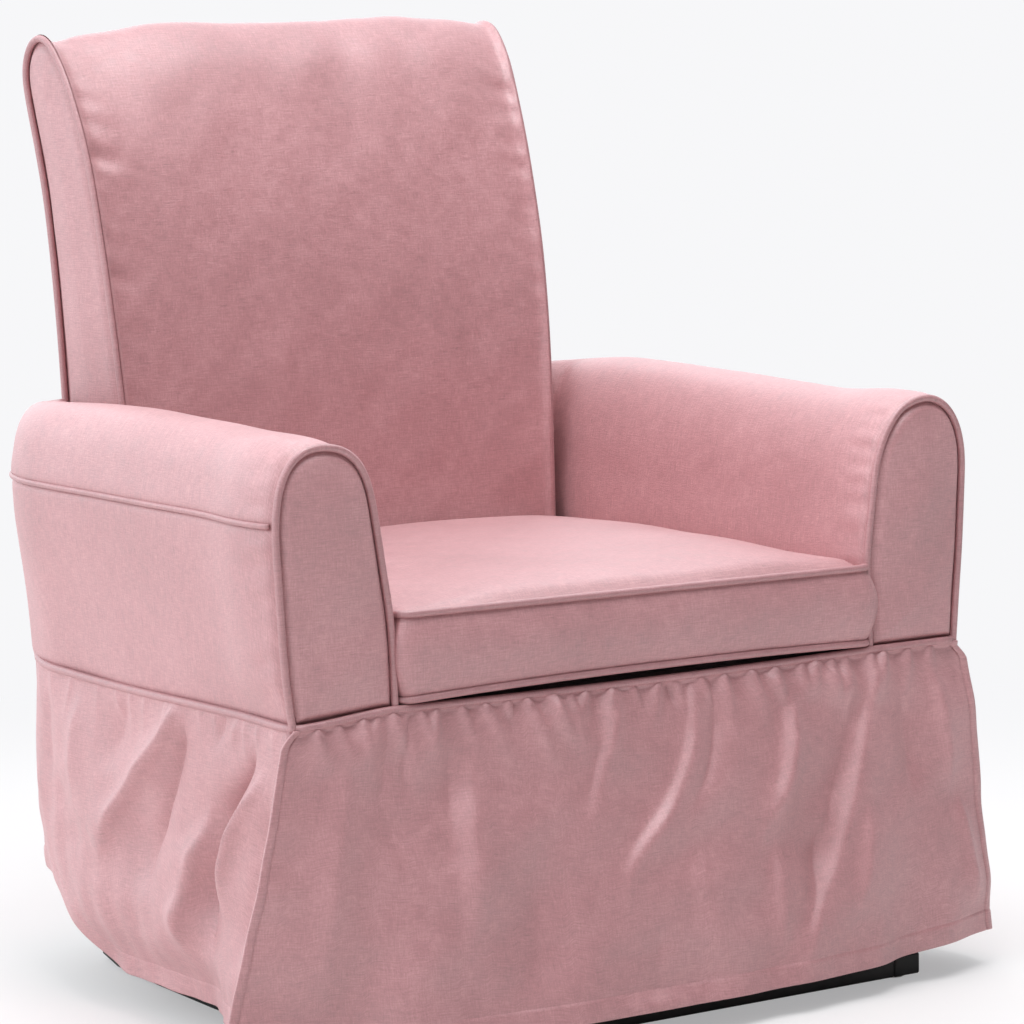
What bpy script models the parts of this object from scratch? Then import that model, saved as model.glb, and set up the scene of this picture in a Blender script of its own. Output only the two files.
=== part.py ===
"""Upholstered nursery glider: a skirted armchair that hangs from a low rectangular floor base.

Metres, +Z up, +X to the sitter's left, the chair faces -Y, the floor is z = 0.
The origin is on the floor under the middle of the object.

Four steel links hang from two stands on the floor base.  The chair's two lower rails hang on the
links, so the chair swings fore and aft on a parallelogram and stays level.
"""
import math

import bmesh
import bpy
from mathutils import Matrix, Vector

# ---------------------------------------------------------------------------------------------
# Driving dimensions (metres)
# ---------------------------------------------------------------------------------------------
GAP = 0.0003                  # clearance between pieces that touch

FRONT = -0.332                # Y of the front plane of the arms and the seat
SEAT_DEPTH = 0.536            # front plane to the foot of the back
CHAIR_DEPTH = 0.690           # front plane to the rear plane at seat level
CORNER_RADIUS = 0.200         # rounding of the rear outer corners in plan

SEAM_Z = 0.346                # height of the piped seam between body and skirt
ARM_INNER = 0.288             # half the width between the arms at seat level
ARM_OUTER = 0.410             # half the width over the arms
ARM_ARCH_Z = 0.532            # where the straight sides of an arm turn into its arch
ARM_ARCH_HEIGHT = 0.069
ARM_TOP_CROWN = 0.012         # rise of the arm's top at mid length
ARM_LENGTH = 0.674
ARM_LEAN_IN = 0.020           # how far the sides lean between the seam and the arch
ARM_LEAN_OUT = 0.012
ARM_STEP_START = 0.585        # where the inner side steps in to the back
ARM_STEP_END = 0.612

CUSHION_HALF_WIDTH = 0.2850
CUSHION_BOTTOM = 0.3520
CUSHION_EDGE_Z = 0.4330       # height of the cushion's piped top edge
CUSHION_CROWN = 0.0190

BACK_FOOT_HALF_WIDTH = 0.262
BACK_TOP_HALF_WIDTH = 0.2865
BACK_CORNER_Z = 0.980
BACK_CROWN = 0.018            # rise of the back's top edge at the middle

SKIRT_THICKNESS = 0.003
SKIRT_TOP = SEAM_Z - 0.0006
SKIRT_HEM = 0.032
SKIRT_REAR_HEM = 0.085
SKIRT_SIDE = 0.4020           # half width of the skirt at its top
SKIRT_FLARE = 0.064           # how far the front corners swing out at the hem
SKIRT_BOW = 0.072             # how far the middle of the front hem stands forward

RAIL_TOP = 0.325              # seat frame rails
RAIL_BOTTOM = 0.265
FRAME_FRONT = 0.012           # front face of the front rail, behind the front plane
FRAME_REAR = 0.625
FRAME_THICKNESS = 0.025
SIDE_RAIL_OUT = 0.330
SIDE_RAIL_IN = 0.300

BOARD_THICKNESS = 0.0217      # arm frame boards
ARM_FRAME_TOP = 0.560
BACK_FRAME_THICKNESS = 0.024
BACK_FRAME_HALF_WIDTH = 0.235
BACK_FRAME_FOOT = 0.270
BACK_FRAME_TOP = 0.930
BACK_FRAME_LEAN = math.radians(3.5)

BASE_FRONT = -0.022           # floor base: its front face, behind the front plane
BASE_REAR = 0.581
BASE_INNER = 0.300            # half the width between the side rails
BASE_RAIL_WIDTH = 0.030
BASE_OUTLINE = [(0.333, BASE_FRONT), (0.330, 0.300), (0.326, 0.420), (0.319, 0.520), (0.303, BASE_REAR)]
BASE_BOTTOM = 0.0043
BASE_TOP = 0.0260             # below the hem, so the skirt passes over it
GLIDE_RADIUS = 0.014

LINK_LENGTH = 0.150           # pivot to pivot
UPPER_PIVOT_Z = 0.235
LOWER_PIVOT_Z = UPPER_PIVOT_Z - LINK_LENGTH
LINK_STATIONS = {"front": 0.140, "rear": 0.500}
LINK_IN = 0.270
LINK_OUT = 0.278
LINK_WIDTH = 0.026
UPRIGHT_IN = 0.2937           # upright plates, against the inner faces of the side rails
UPRIGHT_OUT = 0.2997
UPRIGHT_TOP = 0.250
PIN_RADIUS = 0.005
BUSH_RADIUS = 0.0075
BUSH_FLANGE_RADIUS = 0.0105
RUNNING_CLEARANCE = 0.00012
LOWER_RAIL_IN = 0.2503
LOWER_RAIL_OUT = 0.2597
SWING_LIMIT = math.radians(25)

SIDES = {"left": -1.0, "right": 1.0}   # as seen from the front

# ---------------------------------------------------------------------------------------------
# Materials: base colour, roughness, metallic
# ---------------------------------------------------------------------------------------------
FINISHES = {
    "upholstery": ((0.56, 0.29, 0.31), 0.85, 0.0),
    "deck_cloth": ((0.16, 0.12, 0.12), 0.90, 0.0),
    "hardwood": ((0.55, 0.38, 0.22), 0.60, 0.0),
    "black_steel": ((0.015, 0.014, 0.014), 0.45, 0.6),
    "zinc_steel": ((0.55, 0.55, 0.53), 0.35, 1.0),
    "spring_steel": ((0.20, 0.20, 0.20), 0.40, 1.0),
    "nylon": ((0.80, 0.78, 0.72), 0.50, 0.0),
    "rubber": ((0.03, 0.03, 0.03), 0.80, 0.0),
}


def make_material(name):
    colour, roughness, metallic = FINISHES[name]
    material = bpy.data.materials.new(name)
    material.use_nodes = True
    shader = material.node_tree.nodes["Principled BSDF"]
    shader.inputs["Base Color"].default_value = (*colour, 1.0)
    shader.inputs["Roughness"].default_value = roughness
    shader.inputs["Metallic"].default_value = metallic
    material.diffuse_color = (*colour, 1.0)
    return material


# ---------------------------------------------------------------------------------------------
# Scene and helpers
# ---------------------------------------------------------------------------------------------
for old in list(bpy.data.objects):
    bpy.data.objects.remove(old, do_unlink=True)

MATERIALS = {name: make_material(name) for name in FINISHES}
PARTS = bpy.data.collections.new("nursery_glider")
CUTTERS = bpy.data.collections.new("cutters")
for collection in (PARTS, CUTTERS):
    bpy.context.scene.collection.children.link(collection)


def depth(distance):
    """Y of a place given as its distance behind the front plane."""
    return FRONT + distance


def add_object(name, mesh_builder, origin, material=None):
    """Make an object whose mesh, built in world coordinates, is stored about its own origin."""
    mesh = bpy.data.meshes.new(name)
    bmesh.ops.recalc_face_normals(mesh_builder, faces=mesh_builder.faces)
    bmesh.ops.translate(mesh_builder, verts=mesh_builder.verts, vec=-Vector(origin))
    mesh_builder.to_mesh(mesh)
    mesh_builder.free()
    piece = bpy.data.objects.new(name, mesh)
    piece.location = origin
    if material:
        mesh.materials.append(MATERIALS[material])
        PARTS.objects.link(piece)
    else:
        piece.hide_render = True
        piece.display_type = "WIRE"
        CUTTERS.objects.link(piece)
    return piece


def add_empty(name, place):
    """A pivot: the pieces that turn about it are its children."""
    empty = bpy.data.objects.new(name, None)
    empty.location = place
    empty.empty_display_size = 0.03
    PARTS.objects.link(empty)
    return empty


def attach(piece, pivot):
    piece.parent = pivot
    piece.location -= pivot.location


def box(name, low, high, material=None, bevel=0.0):
    low, high = Vector(low), Vector(high)
    shape = bmesh.new()
    bmesh.ops.create_cube(shape, size=1.0)
    bmesh.ops.scale(shape, verts=shape.verts, vec=high - low)
    centre = (low + high) / 2
    bmesh.ops.translate(shape, verts=shape.verts, vec=centre)
    piece = add_object(name, shape, centre, material)
    if bevel:
        soften(piece, bevel, 1)
    return piece


def soften(piece, width, segments):
    modifier = piece.modifiers.new("rounded_edges", "BEVEL")
    modifier.width = width
    modifier.segments = segments
    modifier.limit_method = "ANGLE"
    modifier.angle_limit = math.radians(40)
    modifier.harden_normals = False


def rod_shape(shape, radius, x_start, x_end, y, z, sides):
    """Add a cylinder along X to a mesh under construction."""
    turn = Matrix.Rotation(math.radians(90), 4, "Y")
    place = Matrix.Translation(((x_start + x_end) / 2, y, z))
    bmesh.ops.create_cone(shape, cap_ends=True, segments=sides, radius1=radius, radius2=radius,
                          depth=abs(x_end - x_start), matrix=place @ turn)


def rod(name, radius, x_start, x_end, y, z, material=None, sides=24):
    shape = bmesh.new()
    rod_shape(shape, radius, x_start, x_end, y, z, sides)
    return add_object(name, shape, ((x_start + x_end) / 2, y, z), material)


def turned(name, profile, x_sign, y, z, material, steps=24):
    """Turn a profile of (x, radius) points about an axis along X through (y, z)."""
    shape = bmesh.new()
    rings = []
    for x, radius in profile:
        ring = []
        for index in range(steps):
            angle = 2 * math.pi * index / steps
            ring.append(Vector((x_sign * x, y + radius * math.cos(angle), z + radius * math.sin(angle))))
        rings.append(ring)
    skin(shape, rings, closed_loop=profile[0] == profile[-1])
    middle = x_sign * (profile[0][0] + profile[-1][0]) / 2
    return add_object(name, shape, (middle, y, z), material)


def skin(shape, rings, closed_loop=False):
    """Join equal rings of points with quads, and cap the first and last ring."""
    if closed_loop:
        rings = rings[:-1]
    layers = [[shape.verts.new(point) for point in ring] for ring in rings]
    pairs = list(zip(layers, layers[1:]))
    if closed_loop:
        pairs.append((layers[-1], layers[0]))
    for lower, upper in pairs:
        for index in range(len(lower)):
            following = (index + 1) % len(lower)
            shape.faces.new((lower[index], lower[following], upper[following], upper[index]))
    if not closed_loop:
        shape.faces.new(list(reversed(layers[0])))
        shape.faces.new(layers[-1])


def sheet(name, surface, columns, rows, thickness, material):
    """A thin shell: surface(u, v) gives its points for u and v from 0 to 1."""
    shape = bmesh.new()
    grid = [[shape.verts.new(surface(column / columns, row / rows)) for column in range(columns + 1)]
            for row in range(rows + 1)]
    for row in range(rows):
        for column in range(columns):
            shape.faces.new((grid[row][column], grid[row][column + 1],
                             grid[row + 1][column + 1], grid[row + 1][column]))
    piece = add_object(name, shape, surface(0.5, 0.0), material)
    modifier = piece.modifiers.new("thickness", "SOLIDIFY")
    modifier.thickness = thickness
    modifier.offset = 0.0
    return piece


def cut(piece, cutter, operation="DIFFERENCE"):
    modifier = piece.modifiers.new(cutter.name, "BOOLEAN")
    modifier.operation = operation
    modifier.solver = "EXACT"
    modifier.object = cutter


def smooth_through(points, count):
    """A Catmull-Rom curve through a few points, as count points per span."""
    ends = [points[0] * 2 - points[1], *points, points[-1] * 2 - points[-2]]
    result = []
    for index in range(1, len(ends) - 2):
        before, start, end, after = ends[index - 1:index + 3]
        for step in range(count):
            t = step / count
            result.append(0.5 * (2 * start + (end - before) * t
                                 + (2 * before - 5 * start + 4 * end - after) * t ** 2
                                 + (3 * start - before - 3 * end + after) * t ** 3))
    result.append(points[-1])
    return result


def outline_half_width(distance, half_width, corner_radius, rear):
    """Half width of the rounded plan outline at a distance behind the front plane."""
    straight_end = rear - corner_radius
    if distance <= straight_end:
        return half_width
    reach = min(distance - straight_end, corner_radius)
    return half_width - corner_radius + math.sqrt(corner_radius ** 2 - reach ** 2)


# ---------------------------------------------------------------------------------------------
# Floor base
# ---------------------------------------------------------------------------------------------
def build_floor_base():
    """Two side rails that narrow to the rear, and a front and a rear rail between them."""
    plan = [(BASE_INNER, BASE_FRONT), *BASE_OUTLINE, (BASE_INNER, BASE_REAR)]
    for side, sign in SIDES.items():
        shape = bmesh.new()
        skin(shape, [[Vector((sign * x, depth(distance), z)) for x, distance in plan]
                     for z in (BASE_BOTTOM, BASE_TOP)])
        soften(add_object(f"base_side_rail_{side}", shape, (sign * BASE_INNER, depth(0), BASE_BOTTOM),
                          "black_steel"), 0.002, 1)
    ends = {"front": (BASE_FRONT, BASE_FRONT + BASE_RAIL_WIDTH),
            "rear": (BASE_REAR - BASE_RAIL_WIDTH, BASE_REAR)}
    for end, (start, stop) in ends.items():
        box(f"base_{end}_rail", (-BASE_INNER + GAP, depth(start), BASE_BOTTOM),
            (BASE_INNER - GAP, depth(stop), BASE_TOP), "black_steel", bevel=0.002)


def build_floor_glides():
    """Nylon discs under the base: in front under the side rails, at the rear under the rear rail."""
    places = {"front": (BASE_INNER + 0.0155, BASE_FRONT + 0.025),
              "rear": (BASE_INNER - BASE_RAIL_WIDTH, BASE_REAR - BASE_RAIL_WIDTH / 2)}
    for side, sign in SIDES.items():
        for end, (x_place, distance) in places.items():
            shape = bmesh.new()
            thickness = BASE_BOTTOM - GAP
            place = Matrix.Translation((sign * x_place, depth(distance), thickness / 2))
            bmesh.ops.create_cone(shape, cap_ends=True, segments=20, radius1=GLIDE_RADIUS - 0.001,
                                  radius2=GLIDE_RADIUS, depth=thickness, matrix=place)
            add_object(f"floor_glide_{end}_{side}", shape, place.to_translation(), "nylon")


def upright_outline(y):
    """An upright plate, seen along X: parallel sides that narrow to the pivot."""
    foot, head, chamfer = 0.050, 0.022, 0.012
    shoulder = UPPER_PIVOT_Z - 0.050
    half = [(foot, BASE_BOTTOM + 0.002), (foot, shoulder),
            (head + chamfer, UPRIGHT_TOP - chamfer), (head, UPRIGHT_TOP)]
    return [(y + across, z) for across, z in half] + [(y - across, z) for across, z in reversed(half)]


def build_uprights():
    """Four plates on the inner faces of the side rails: they carry the upper pivots."""
    for end, distance in LINK_STATIONS.items():
        y = depth(distance)
        for side, sign in SIDES.items():
            shape = bmesh.new()
            skin(shape, [[Vector((sign * x, *point)) for point in upright_outline(y)]
                         for x in (UPRIGHT_IN, UPRIGHT_OUT)])
            plate = add_object(f"upright_{end}_{side}", shape, (sign * UPRIGHT_IN, y, BASE_TOP),
                               "black_steel")
            hole = rod(f"upright_hole_{end}_{side}", PIN_RADIUS + GAP, sign * (UPRIGHT_IN - 0.01),
                       sign * (UPRIGHT_OUT + 0.01), y, UPPER_PIVOT_Z, sides=16)
            cut(plate, hole)


def build_upper_pivots():
    """Shouldered bolts: head outside the upright, shank through it and the link, nut inside."""
    nut_radius = 0.0085
    shank_end = LINK_IN - 0.0100
    profile = [(UPRIGHT_OUT + 0.0060, 0.0070), (UPRIGHT_OUT + GAP, nut_radius),
               (UPRIGHT_OUT + GAP, PIN_RADIUS), (LINK_IN - GAP, PIN_RADIUS),
               (LINK_IN - GAP, nut_radius), (shank_end + 0.004, nut_radius),
               (shank_end + 0.004, 0.0040), (shank_end, 0.0040)]
    for end, distance in LINK_STATIONS.items():
        for side, sign in SIDES.items():
            turned(f"upper_pivot_bolt_{end}_{side}", profile, sign, depth(distance), UPPER_PIVOT_Z,
                   "zinc_steel", steps=16)


def build_stop_bars():
    """Sleeved bars between the uprights: the links meet one of them at each end of the swing."""
    bar_radius = 0.006
    reach = 0.060
    clear = LINK_WIDTH / 2 + bar_radius + 0.0006
    angle = SWING_LIMIT + math.asin(clear / reach)
    half_length = UPRIGHT_IN - GAP
    for end, direction in (("front", -1), ("rear", 1)):
        y = depth(LINK_STATIONS[end]) + direction * reach * math.sin(angle)
        z = UPPER_PIVOT_Z - reach * math.cos(angle)
        rod(f"stop_bar_{end}", bar_radius, -half_length, half_length, y, z, "rubber", sides=16)


# ---------------------------------------------------------------------------------------------
# Swing links
# ---------------------------------------------------------------------------------------------
def link_outline(y):
    """A flat bar with round ends, seen along X."""
    half = LINK_WIDTH / 2
    steps = 8
    top = [(y + half * math.cos(math.pi * i / steps), UPPER_PIVOT_Z + half * math.sin(math.pi * i / steps))
           for i in range(steps + 1)]
    bottom = [(y - half * math.cos(math.pi * i / steps), LOWER_PIVOT_Z - half * math.sin(math.pi * i / steps))
              for i in range(steps + 1)]
    return top + bottom


def build_link(end, side, pivot):
    sign = SIDES[side]
    y = depth(LINK_STATIONS[end])
    shape = bmesh.new()
    skin(shape, [[Vector((sign * x, *point)) for point in link_outline(y)] for x in (LINK_IN, LINK_OUT)])
    link = add_object(f"swing_link_{end}_{side}", shape, (sign * LINK_IN, y, UPPER_PIVOT_Z), "zinc_steel")
    pieces = [link]
    bore = PIN_RADIUS + RUNNING_CLEARANCE + 0.0001
    outer_washer = (LINK_OUT + GAP, UPRIGHT_IN - GAP)
    inner_washer = (LOWER_RAIL_OUT + GAP, LINK_IN - GAP)
    for level, z, washer in (("upper", UPPER_PIVOT_Z, outer_washer), ("lower", LOWER_PIVOT_Z, inner_washer)):
        hole = rod(f"link_hole_{level}_{end}_{side}", BUSH_RADIUS + GAP, sign * (LINK_IN - 0.01),
                   sign * (LINK_OUT + 0.01), y, z, sides=16)
        cut(link, hole)
        attach(hole, pivot)
        face = washer[0] if level == "upper" else washer[1]
        far = washer[1] if level == "upper" else washer[0]
        through = LINK_IN if level == "upper" else LINK_OUT
        profile = [(through, bore), (through, BUSH_RADIUS), (face, BUSH_RADIUS), (face, BUSH_FLANGE_RADIUS),
                   (far, BUSH_FLANGE_RADIUS), (far, bore), (through, bore)]
        bush = turned(f"link_bush_{level}_{end}_{side}", profile, sign, y, z, "nylon", steps=16)
        pieces.append(bush)
    for piece in pieces:
        attach(piece, pivot)


def build_links():
    for end, distance in LINK_STATIONS.items():
        for side, sign in SIDES.items():
            pivot = add_empty(f"pivot_{end}_{side}", (sign * LINK_IN, depth(distance), UPPER_PIVOT_Z))
            build_link(end, side, pivot)


# ---------------------------------------------------------------------------------------------
# Chair: steel hangers and wooden seat frame
# ---------------------------------------------------------------------------------------------
def build_lower_rails():
    """Flat bars that hang on the links' lower ends, and the bolts through them."""
    half_height = 0.015
    head, nut = 0.0085, 0.0075
    profile = [(LINK_OUT + 0.0060, 0.0070), (LINK_OUT + GAP, head), (LINK_OUT + GAP, PIN_RADIUS),
               (LOWER_RAIL_IN - GAP, PIN_RADIUS), (LOWER_RAIL_IN - GAP, nut),
               (LOWER_RAIL_IN - 0.005, nut)]
    pieces = []
    for side, sign in SIDES.items():
        edges = sorted((sign * LOWER_RAIL_IN, sign * LOWER_RAIL_OUT))
        rail = box(f"lower_rail_{side}", (edges[0], depth(0.100), LOWER_PIVOT_Z - half_height),
                   (edges[1], depth(0.540), LOWER_PIVOT_Z + half_height), "black_steel")
        pieces.append(rail)
        for end, distance in LINK_STATIONS.items():
            y = depth(distance)
            hole = rod(f"rail_hole_{end}_{side}", PIN_RADIUS + GAP, sign * (LOWER_RAIL_IN - 0.01),
                       sign * (LOWER_RAIL_OUT + 0.01), y, LOWER_PIVOT_Z, sides=16)
            cut(rail, hole)
            bolt = turned(f"lower_pivot_bolt_{end}_{side}", profile, sign, y, LOWER_PIVOT_Z,
                          "zinc_steel", steps=16)
            pieces += [hole, bolt]
    return pieces


def build_hanger_brackets():
    """Folded straps from the lower rails up to the undersides of the seat frame's side rails."""
    strap = 0.006
    inner = LOWER_RAIL_IN - GAP - strap
    top = RAIL_BOTTOM - GAP
    outline = [(inner, LOWER_PIVOT_Z - 0.013), (inner + strap, LOWER_PIVOT_Z - 0.013),
               (inner + strap, top - strap), (SIDE_RAIL_OUT, top - strap), (SIDE_RAIL_OUT, top),
               (inner, top)]
    pieces = []
    for end, start, stop in (("front", 0.185, 0.235), ("rear", 0.405, 0.455)):
        for side, sign in SIDES.items():
            shape = bmesh.new()
            skin(shape, [[Vector((sign * x, depth(distance), z)) for x, z in outline]
                         for distance in (start, stop)])
            pieces.append(add_object(f"hanger_bracket_{end}_{side}", shape,
                                     (sign * inner, depth((start + stop) / 2), top), "black_steel"))
    return pieces


def build_seat_frame():
    rear_face = FRAME_REAR
    inner_front = FRAME_FRONT + FRAME_THICKNESS
    inner_rear = FRAME_REAR - FRAME_THICKNESS
    front = box("seat_front_rail", (-SIDE_RAIL_OUT, depth(FRAME_FRONT), RAIL_BOTTOM),
                (SIDE_RAIL_OUT, depth(inner_front), RAIL_TOP), "hardwood", bevel=0.002)
    rear = box("seat_rear_rail", (-SIDE_RAIL_OUT, depth(inner_rear), RAIL_BOTTOM),
               (SIDE_RAIL_OUT, depth(rear_face), RAIL_TOP), "hardwood", bevel=0.002)
    pieces = [front, rear]
    for side, sign in SIDES.items():
        edges = sorted((sign * SIDE_RAIL_IN, sign * SIDE_RAIL_OUT))
        pieces.append(box(f"seat_side_rail_{side}", (edges[0], depth(inner_front + GAP), RAIL_BOTTOM),
                          (edges[1], depth(inner_rear - GAP), RAIL_TOP), "hardwood", bevel=0.002))
    return pieces


def build_seat_springs():
    """Sinuous springs: each is one wire that zigzags from the front rail to the rear rail."""
    wire_radius = 0.0018
    half_loop = 0.024
    start, stop = FRAME_FRONT + 0.006, FRAME_REAR - 0.006
    bends = 14
    points_per_bend = 4
    z = RAIL_TOP + GAP + wire_radius
    pieces = []
    for number, x in enumerate((-0.150, 0.0, 0.150), start=1):
        curve = bpy.data.curves.new(f"seat_spring_{number}", "CURVE")
        curve.dimensions = "3D"
        curve.bevel_depth = wire_radius
        curve.bevel_resolution = 1
        curve.use_fill_caps = True
        spline = curve.splines.new("POLY")
        count = bends * points_per_bend
        spline.points.add(count)
        for index in range(count + 1):
            along = index / count
            swing = half_loop * math.sin(math.pi * bends * along)
            spline.points[index].co = (swing, (stop - start) * (along - 0.5), 0.0, 1.0)
        wire = bpy.data.objects.new(f"seat_spring_{number}", curve)
        wire.location = (x, depth((start + stop) / 2), z)
        curve.materials.append(MATERIALS["spring_steel"])
        PARTS.objects.link(wire)
        pieces.append(wire)
    return pieces


def build_deck():
    """The padded deck that the loose cushion lies on."""
    bottom = RAIL_TOP + 2 * GAP + 2 * 0.0018 + 0.001
    return box("seat_deck", (-ARM_INNER + 0.001, depth(0.006), bottom),
               (ARM_INNER - 0.001, depth(SEAT_DEPTH - 0.002), CUSHION_BOTTOM - 0.0005),
               "deck_cloth", bevel=0.003)


# ---------------------------------------------------------------------------------------------
# Chair: arms, back, cushion
# ---------------------------------------------------------------------------------------------
def arm_section(distance, sign):
    """Closed outline of an arm across its length: leaning sides under a round arch.

    Beside the back the inner side steps in, to lie close along the back.
    """
    outer = outline_half_width(distance, ARM_OUTER, CORNER_RADIUS, CHAIR_DEPTH)
    beside_back = min(max((distance - ARM_STEP_START) / (ARM_STEP_END - ARM_STEP_START), 0.0), 1.0)
    close_inner = back_half_width(ARM_ARCH_Z + ARM_ARCH_HEIGHT) + 0.004
    foot_inner = ARM_INNER + (close_inner - ARM_INNER) * beside_back
    arch_inner = ARM_INNER + ARM_LEAN_IN + (close_inner - ARM_INNER - ARM_LEAN_IN) * beside_back
    foot_outer = outer - ARM_LEAN_OUT * (outer - foot_inner) / (ARM_OUTER - ARM_INNER)
    crown = ARM_TOP_CROWN * math.sin(math.pi * distance / ARM_LENGTH)
    middle, half = (arch_inner + outer) / 2, (outer - arch_inner) / 2
    waist = SEAM_Z + 0.090
    points = [(foot_inner, SEAM_Z), (0.55 * foot_inner + 0.45 * arch_inner, waist)]
    steps = 10
    for index in range(steps + 1):
        angle = math.pi * (1 - index / steps)
        points.append((middle + half * math.cos(angle),
                       ARM_ARCH_Z + (ARM_ARCH_HEIGHT + crown) * math.sin(angle)))
    points += [((outer + foot_outer) / 2, waist), (foot_outer, SEAM_Z)]
    return [Vector((sign * x, depth(distance), z)) for x, z in points]


def build_arms():
    """Padded arms.  Each has a slot from below for its wooden frame."""
    stations = [0.0, 0.05, 0.2, 0.35, 0.49, 0.55, ARM_STEP_START, ARM_STEP_END, 0.640, 0.660, ARM_LENGTH]
    pieces = []
    for side, sign in SIDES.items():
        shape = bmesh.new()
        skin(shape, [arm_section(distance, sign) for distance in stations])
        arm = add_object(f"arm_{side}", shape, (sign * ARM_OUTER, depth(0), SEAM_Z), "upholstery")
        board_in = SIDE_RAIL_OUT + GAP
        board_out = board_in + BOARD_THICKNESS
        edges = sorted((sign * board_in, sign * board_out))
        slot = box(f"arm_slot_{side}", (edges[0] - GAP, depth(0.030) - GAP, RAIL_BOTTOM),
                   (edges[1] + GAP, depth(0.550) + GAP, ARM_FRAME_TOP + GAP))
        cut(arm, slot)
        frame = box(f"arm_frame_{side}", (edges[0], depth(0.030), RAIL_BOTTOM + 0.005),
                    (edges[1], depth(0.550), ARM_FRAME_TOP), "hardwood")
        window = box(f"arm_window_{side}", (edges[0] - 0.01, depth(0.090), SEAM_Z + 0.010),
                     (edges[1] + 0.01, depth(0.490), ARM_FRAME_TOP - 0.050))
        cut(frame, window)
        pieces += [arm, slot, frame, window]
    return pieces


def back_profile():
    """Side view of the back, (distance behind the front plane, height), as a closed outline."""
    front = smooth_through([Vector(p) for p in ((0.538, 0.353), (0.552, 0.560), (0.577, 0.745),
                                                (0.614, 0.880), (0.660, 0.957))], 3)
    roll_centre, roll_radius = Vector((0.698, 0.942)), 0.038
    steps = 5
    roll = [roll_centre + roll_radius * Vector((-math.cos(a), math.sin(a)))
            for a in (math.radians(35 + 120 * i / steps) for i in range(steps + 1))]
    rear = smooth_through([Vector(p) for p in ((0.736, 0.936), (0.716, 0.850), (0.697, 0.730),
                                               (0.693, 0.560), (0.690, 0.353))], 2)
    return front + roll + rear


def back_half_width(z):
    share = (z - 0.353) / (BACK_CORNER_Z - 0.353)
    return BACK_FOOT_HALF_WIDTH + (BACK_TOP_HALF_WIDTH - BACK_FOOT_HALF_WIDTH) * share


def build_back():
    """The padded back, with a slot from below for its leaning wooden frame."""
    columns = 8
    shape = bmesh.new()
    rings = []
    for column in range(columns + 1):
        across = 2 * column / columns - 1
        rise = BACK_CROWN * (1 - across ** 2)
        ring = []
        for distance, z in back_profile():
            lift = rise * max(0.0, (z - 0.70) / (BACK_CORNER_Z - 0.70))
            ring.append(Vector((across * back_half_width(z), depth(distance), z + lift)))
        rings.append(ring)
    skin(shape, rings)
    back = add_object("back_cushion", shape, (0, depth(0.614), 0.353), "upholstery")

    foot = Vector((0, depth(FRAME_REAR + GAP + BACK_FRAME_THICKNESS / 2), BACK_FRAME_FOOT))
    height = BACK_FRAME_TOP - BACK_FRAME_FOOT
    half, thick = BACK_FRAME_HALF_WIDTH, BACK_FRAME_THICKNESS / 2
    frame = box("back_frame", (-half, -thick, 0.0), (half, thick, height), "hardwood")
    slot = box("back_slot", (-half - GAP, -thick - GAP, 0.0), (half + GAP, thick + GAP, height + GAP))
    lower = box("back_window_lower", (-half + 0.045, -0.05, 0.075), (half - 0.045, 0.05, 0.330))
    upper = box("back_window_upper", (-half + 0.045, -0.05, 0.375), (half - 0.045, 0.05, height - 0.060))
    leaning = [frame, slot, lower, upper]
    lean = Matrix.Translation(foot) @ Matrix.Rotation(-BACK_FRAME_LEAN, 4, "X")
    for piece in leaning:
        piece.matrix_world = lean @ Matrix.Translation(piece.location)
    cut(frame, lower)
    cut(frame, upper)
    cut(back, slot)
    return [back, *leaning]


def build_outside_back():
    """The rear cover of the back, from the skirt's seam to under the roll."""
    profile = smooth_through([Vector(p) for p in ((0.690, 0.353), (0.693, 0.560), (0.697, 0.730),
                                                  (0.716, 0.850), (0.736, 0.930))], 3)

    def surface(u, v):
        place = profile[round(v * (len(profile) - 1))]
        half = back_half_width(place.y) - 0.004
        return Vector((half * (2 * u - 1), depth(place.x + 0.004), place.y))

    return sheet("outside_back", surface, 6, len(profile) - 1, 0.004, "upholstery")


def build_seat_cushion():
    """A loose boxed cushion with a crowned top."""
    columns, rows = 8, 6
    front, rear = -0.002, SEAT_DEPTH - 0.004
    shape = bmesh.new()
    bmesh.ops.create_grid(shape, x_segments=columns, y_segments=rows, size=1.0)
    top = list(shape.verts)
    for vert in top:
        u, v = vert.co.x, vert.co.y
        rise = CUSHION_CROWN * (1 - abs(u) ** 2.5) * (1 - 0.6 * abs(v) ** 2.5)
        vert.co = Vector((u * CUSHION_HALF_WIDTH, depth(front + (rear - front) * (v + 1) / 2),
                          CUSHION_EDGE_Z + rise))
    lower = bmesh.ops.extrude_face_region(shape, geom=list(shape.faces))["geom"]
    for vert in (item for item in lower if isinstance(item, bmesh.types.BMVert)):
        vert.co.z = CUSHION_BOTTOM
    cushion = add_object("seat_cushion", shape, (0, depth(SEAT_DEPTH / 2), CUSHION_BOTTOM), "upholstery")
    soften(cushion, 0.006, 1)
    return cushion


# ---------------------------------------------------------------------------------------------
# Chair: skirt
# ---------------------------------------------------------------------------------------------
def hem_height(distance):
    """The hem is level along the sides and rises round the rear corners."""
    share = min(max((distance - 0.33) / 0.25, 0.0), 1.0)
    ease = share * share * (3 - 2 * share)
    return SKIRT_HEM + 0.006 + (SKIRT_REAR_HEM - SKIRT_HEM - 0.006) * ease


def build_front_skirt():
    def surface(u, v):
        across = 2 * u - 1
        x = across * (SKIRT_SIDE - 0.002 + SKIRT_FLARE * v)
        forward = 0.0035 + v * (SKIRT_BOW - 0.036 * across ** 2)
        return Vector((x, depth(-forward), SKIRT_TOP + (SKIRT_HEM - SKIRT_TOP) * v))

    return sheet("skirt_front", surface, 12, 4, SKIRT_THICKNESS, "upholstery")


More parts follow.
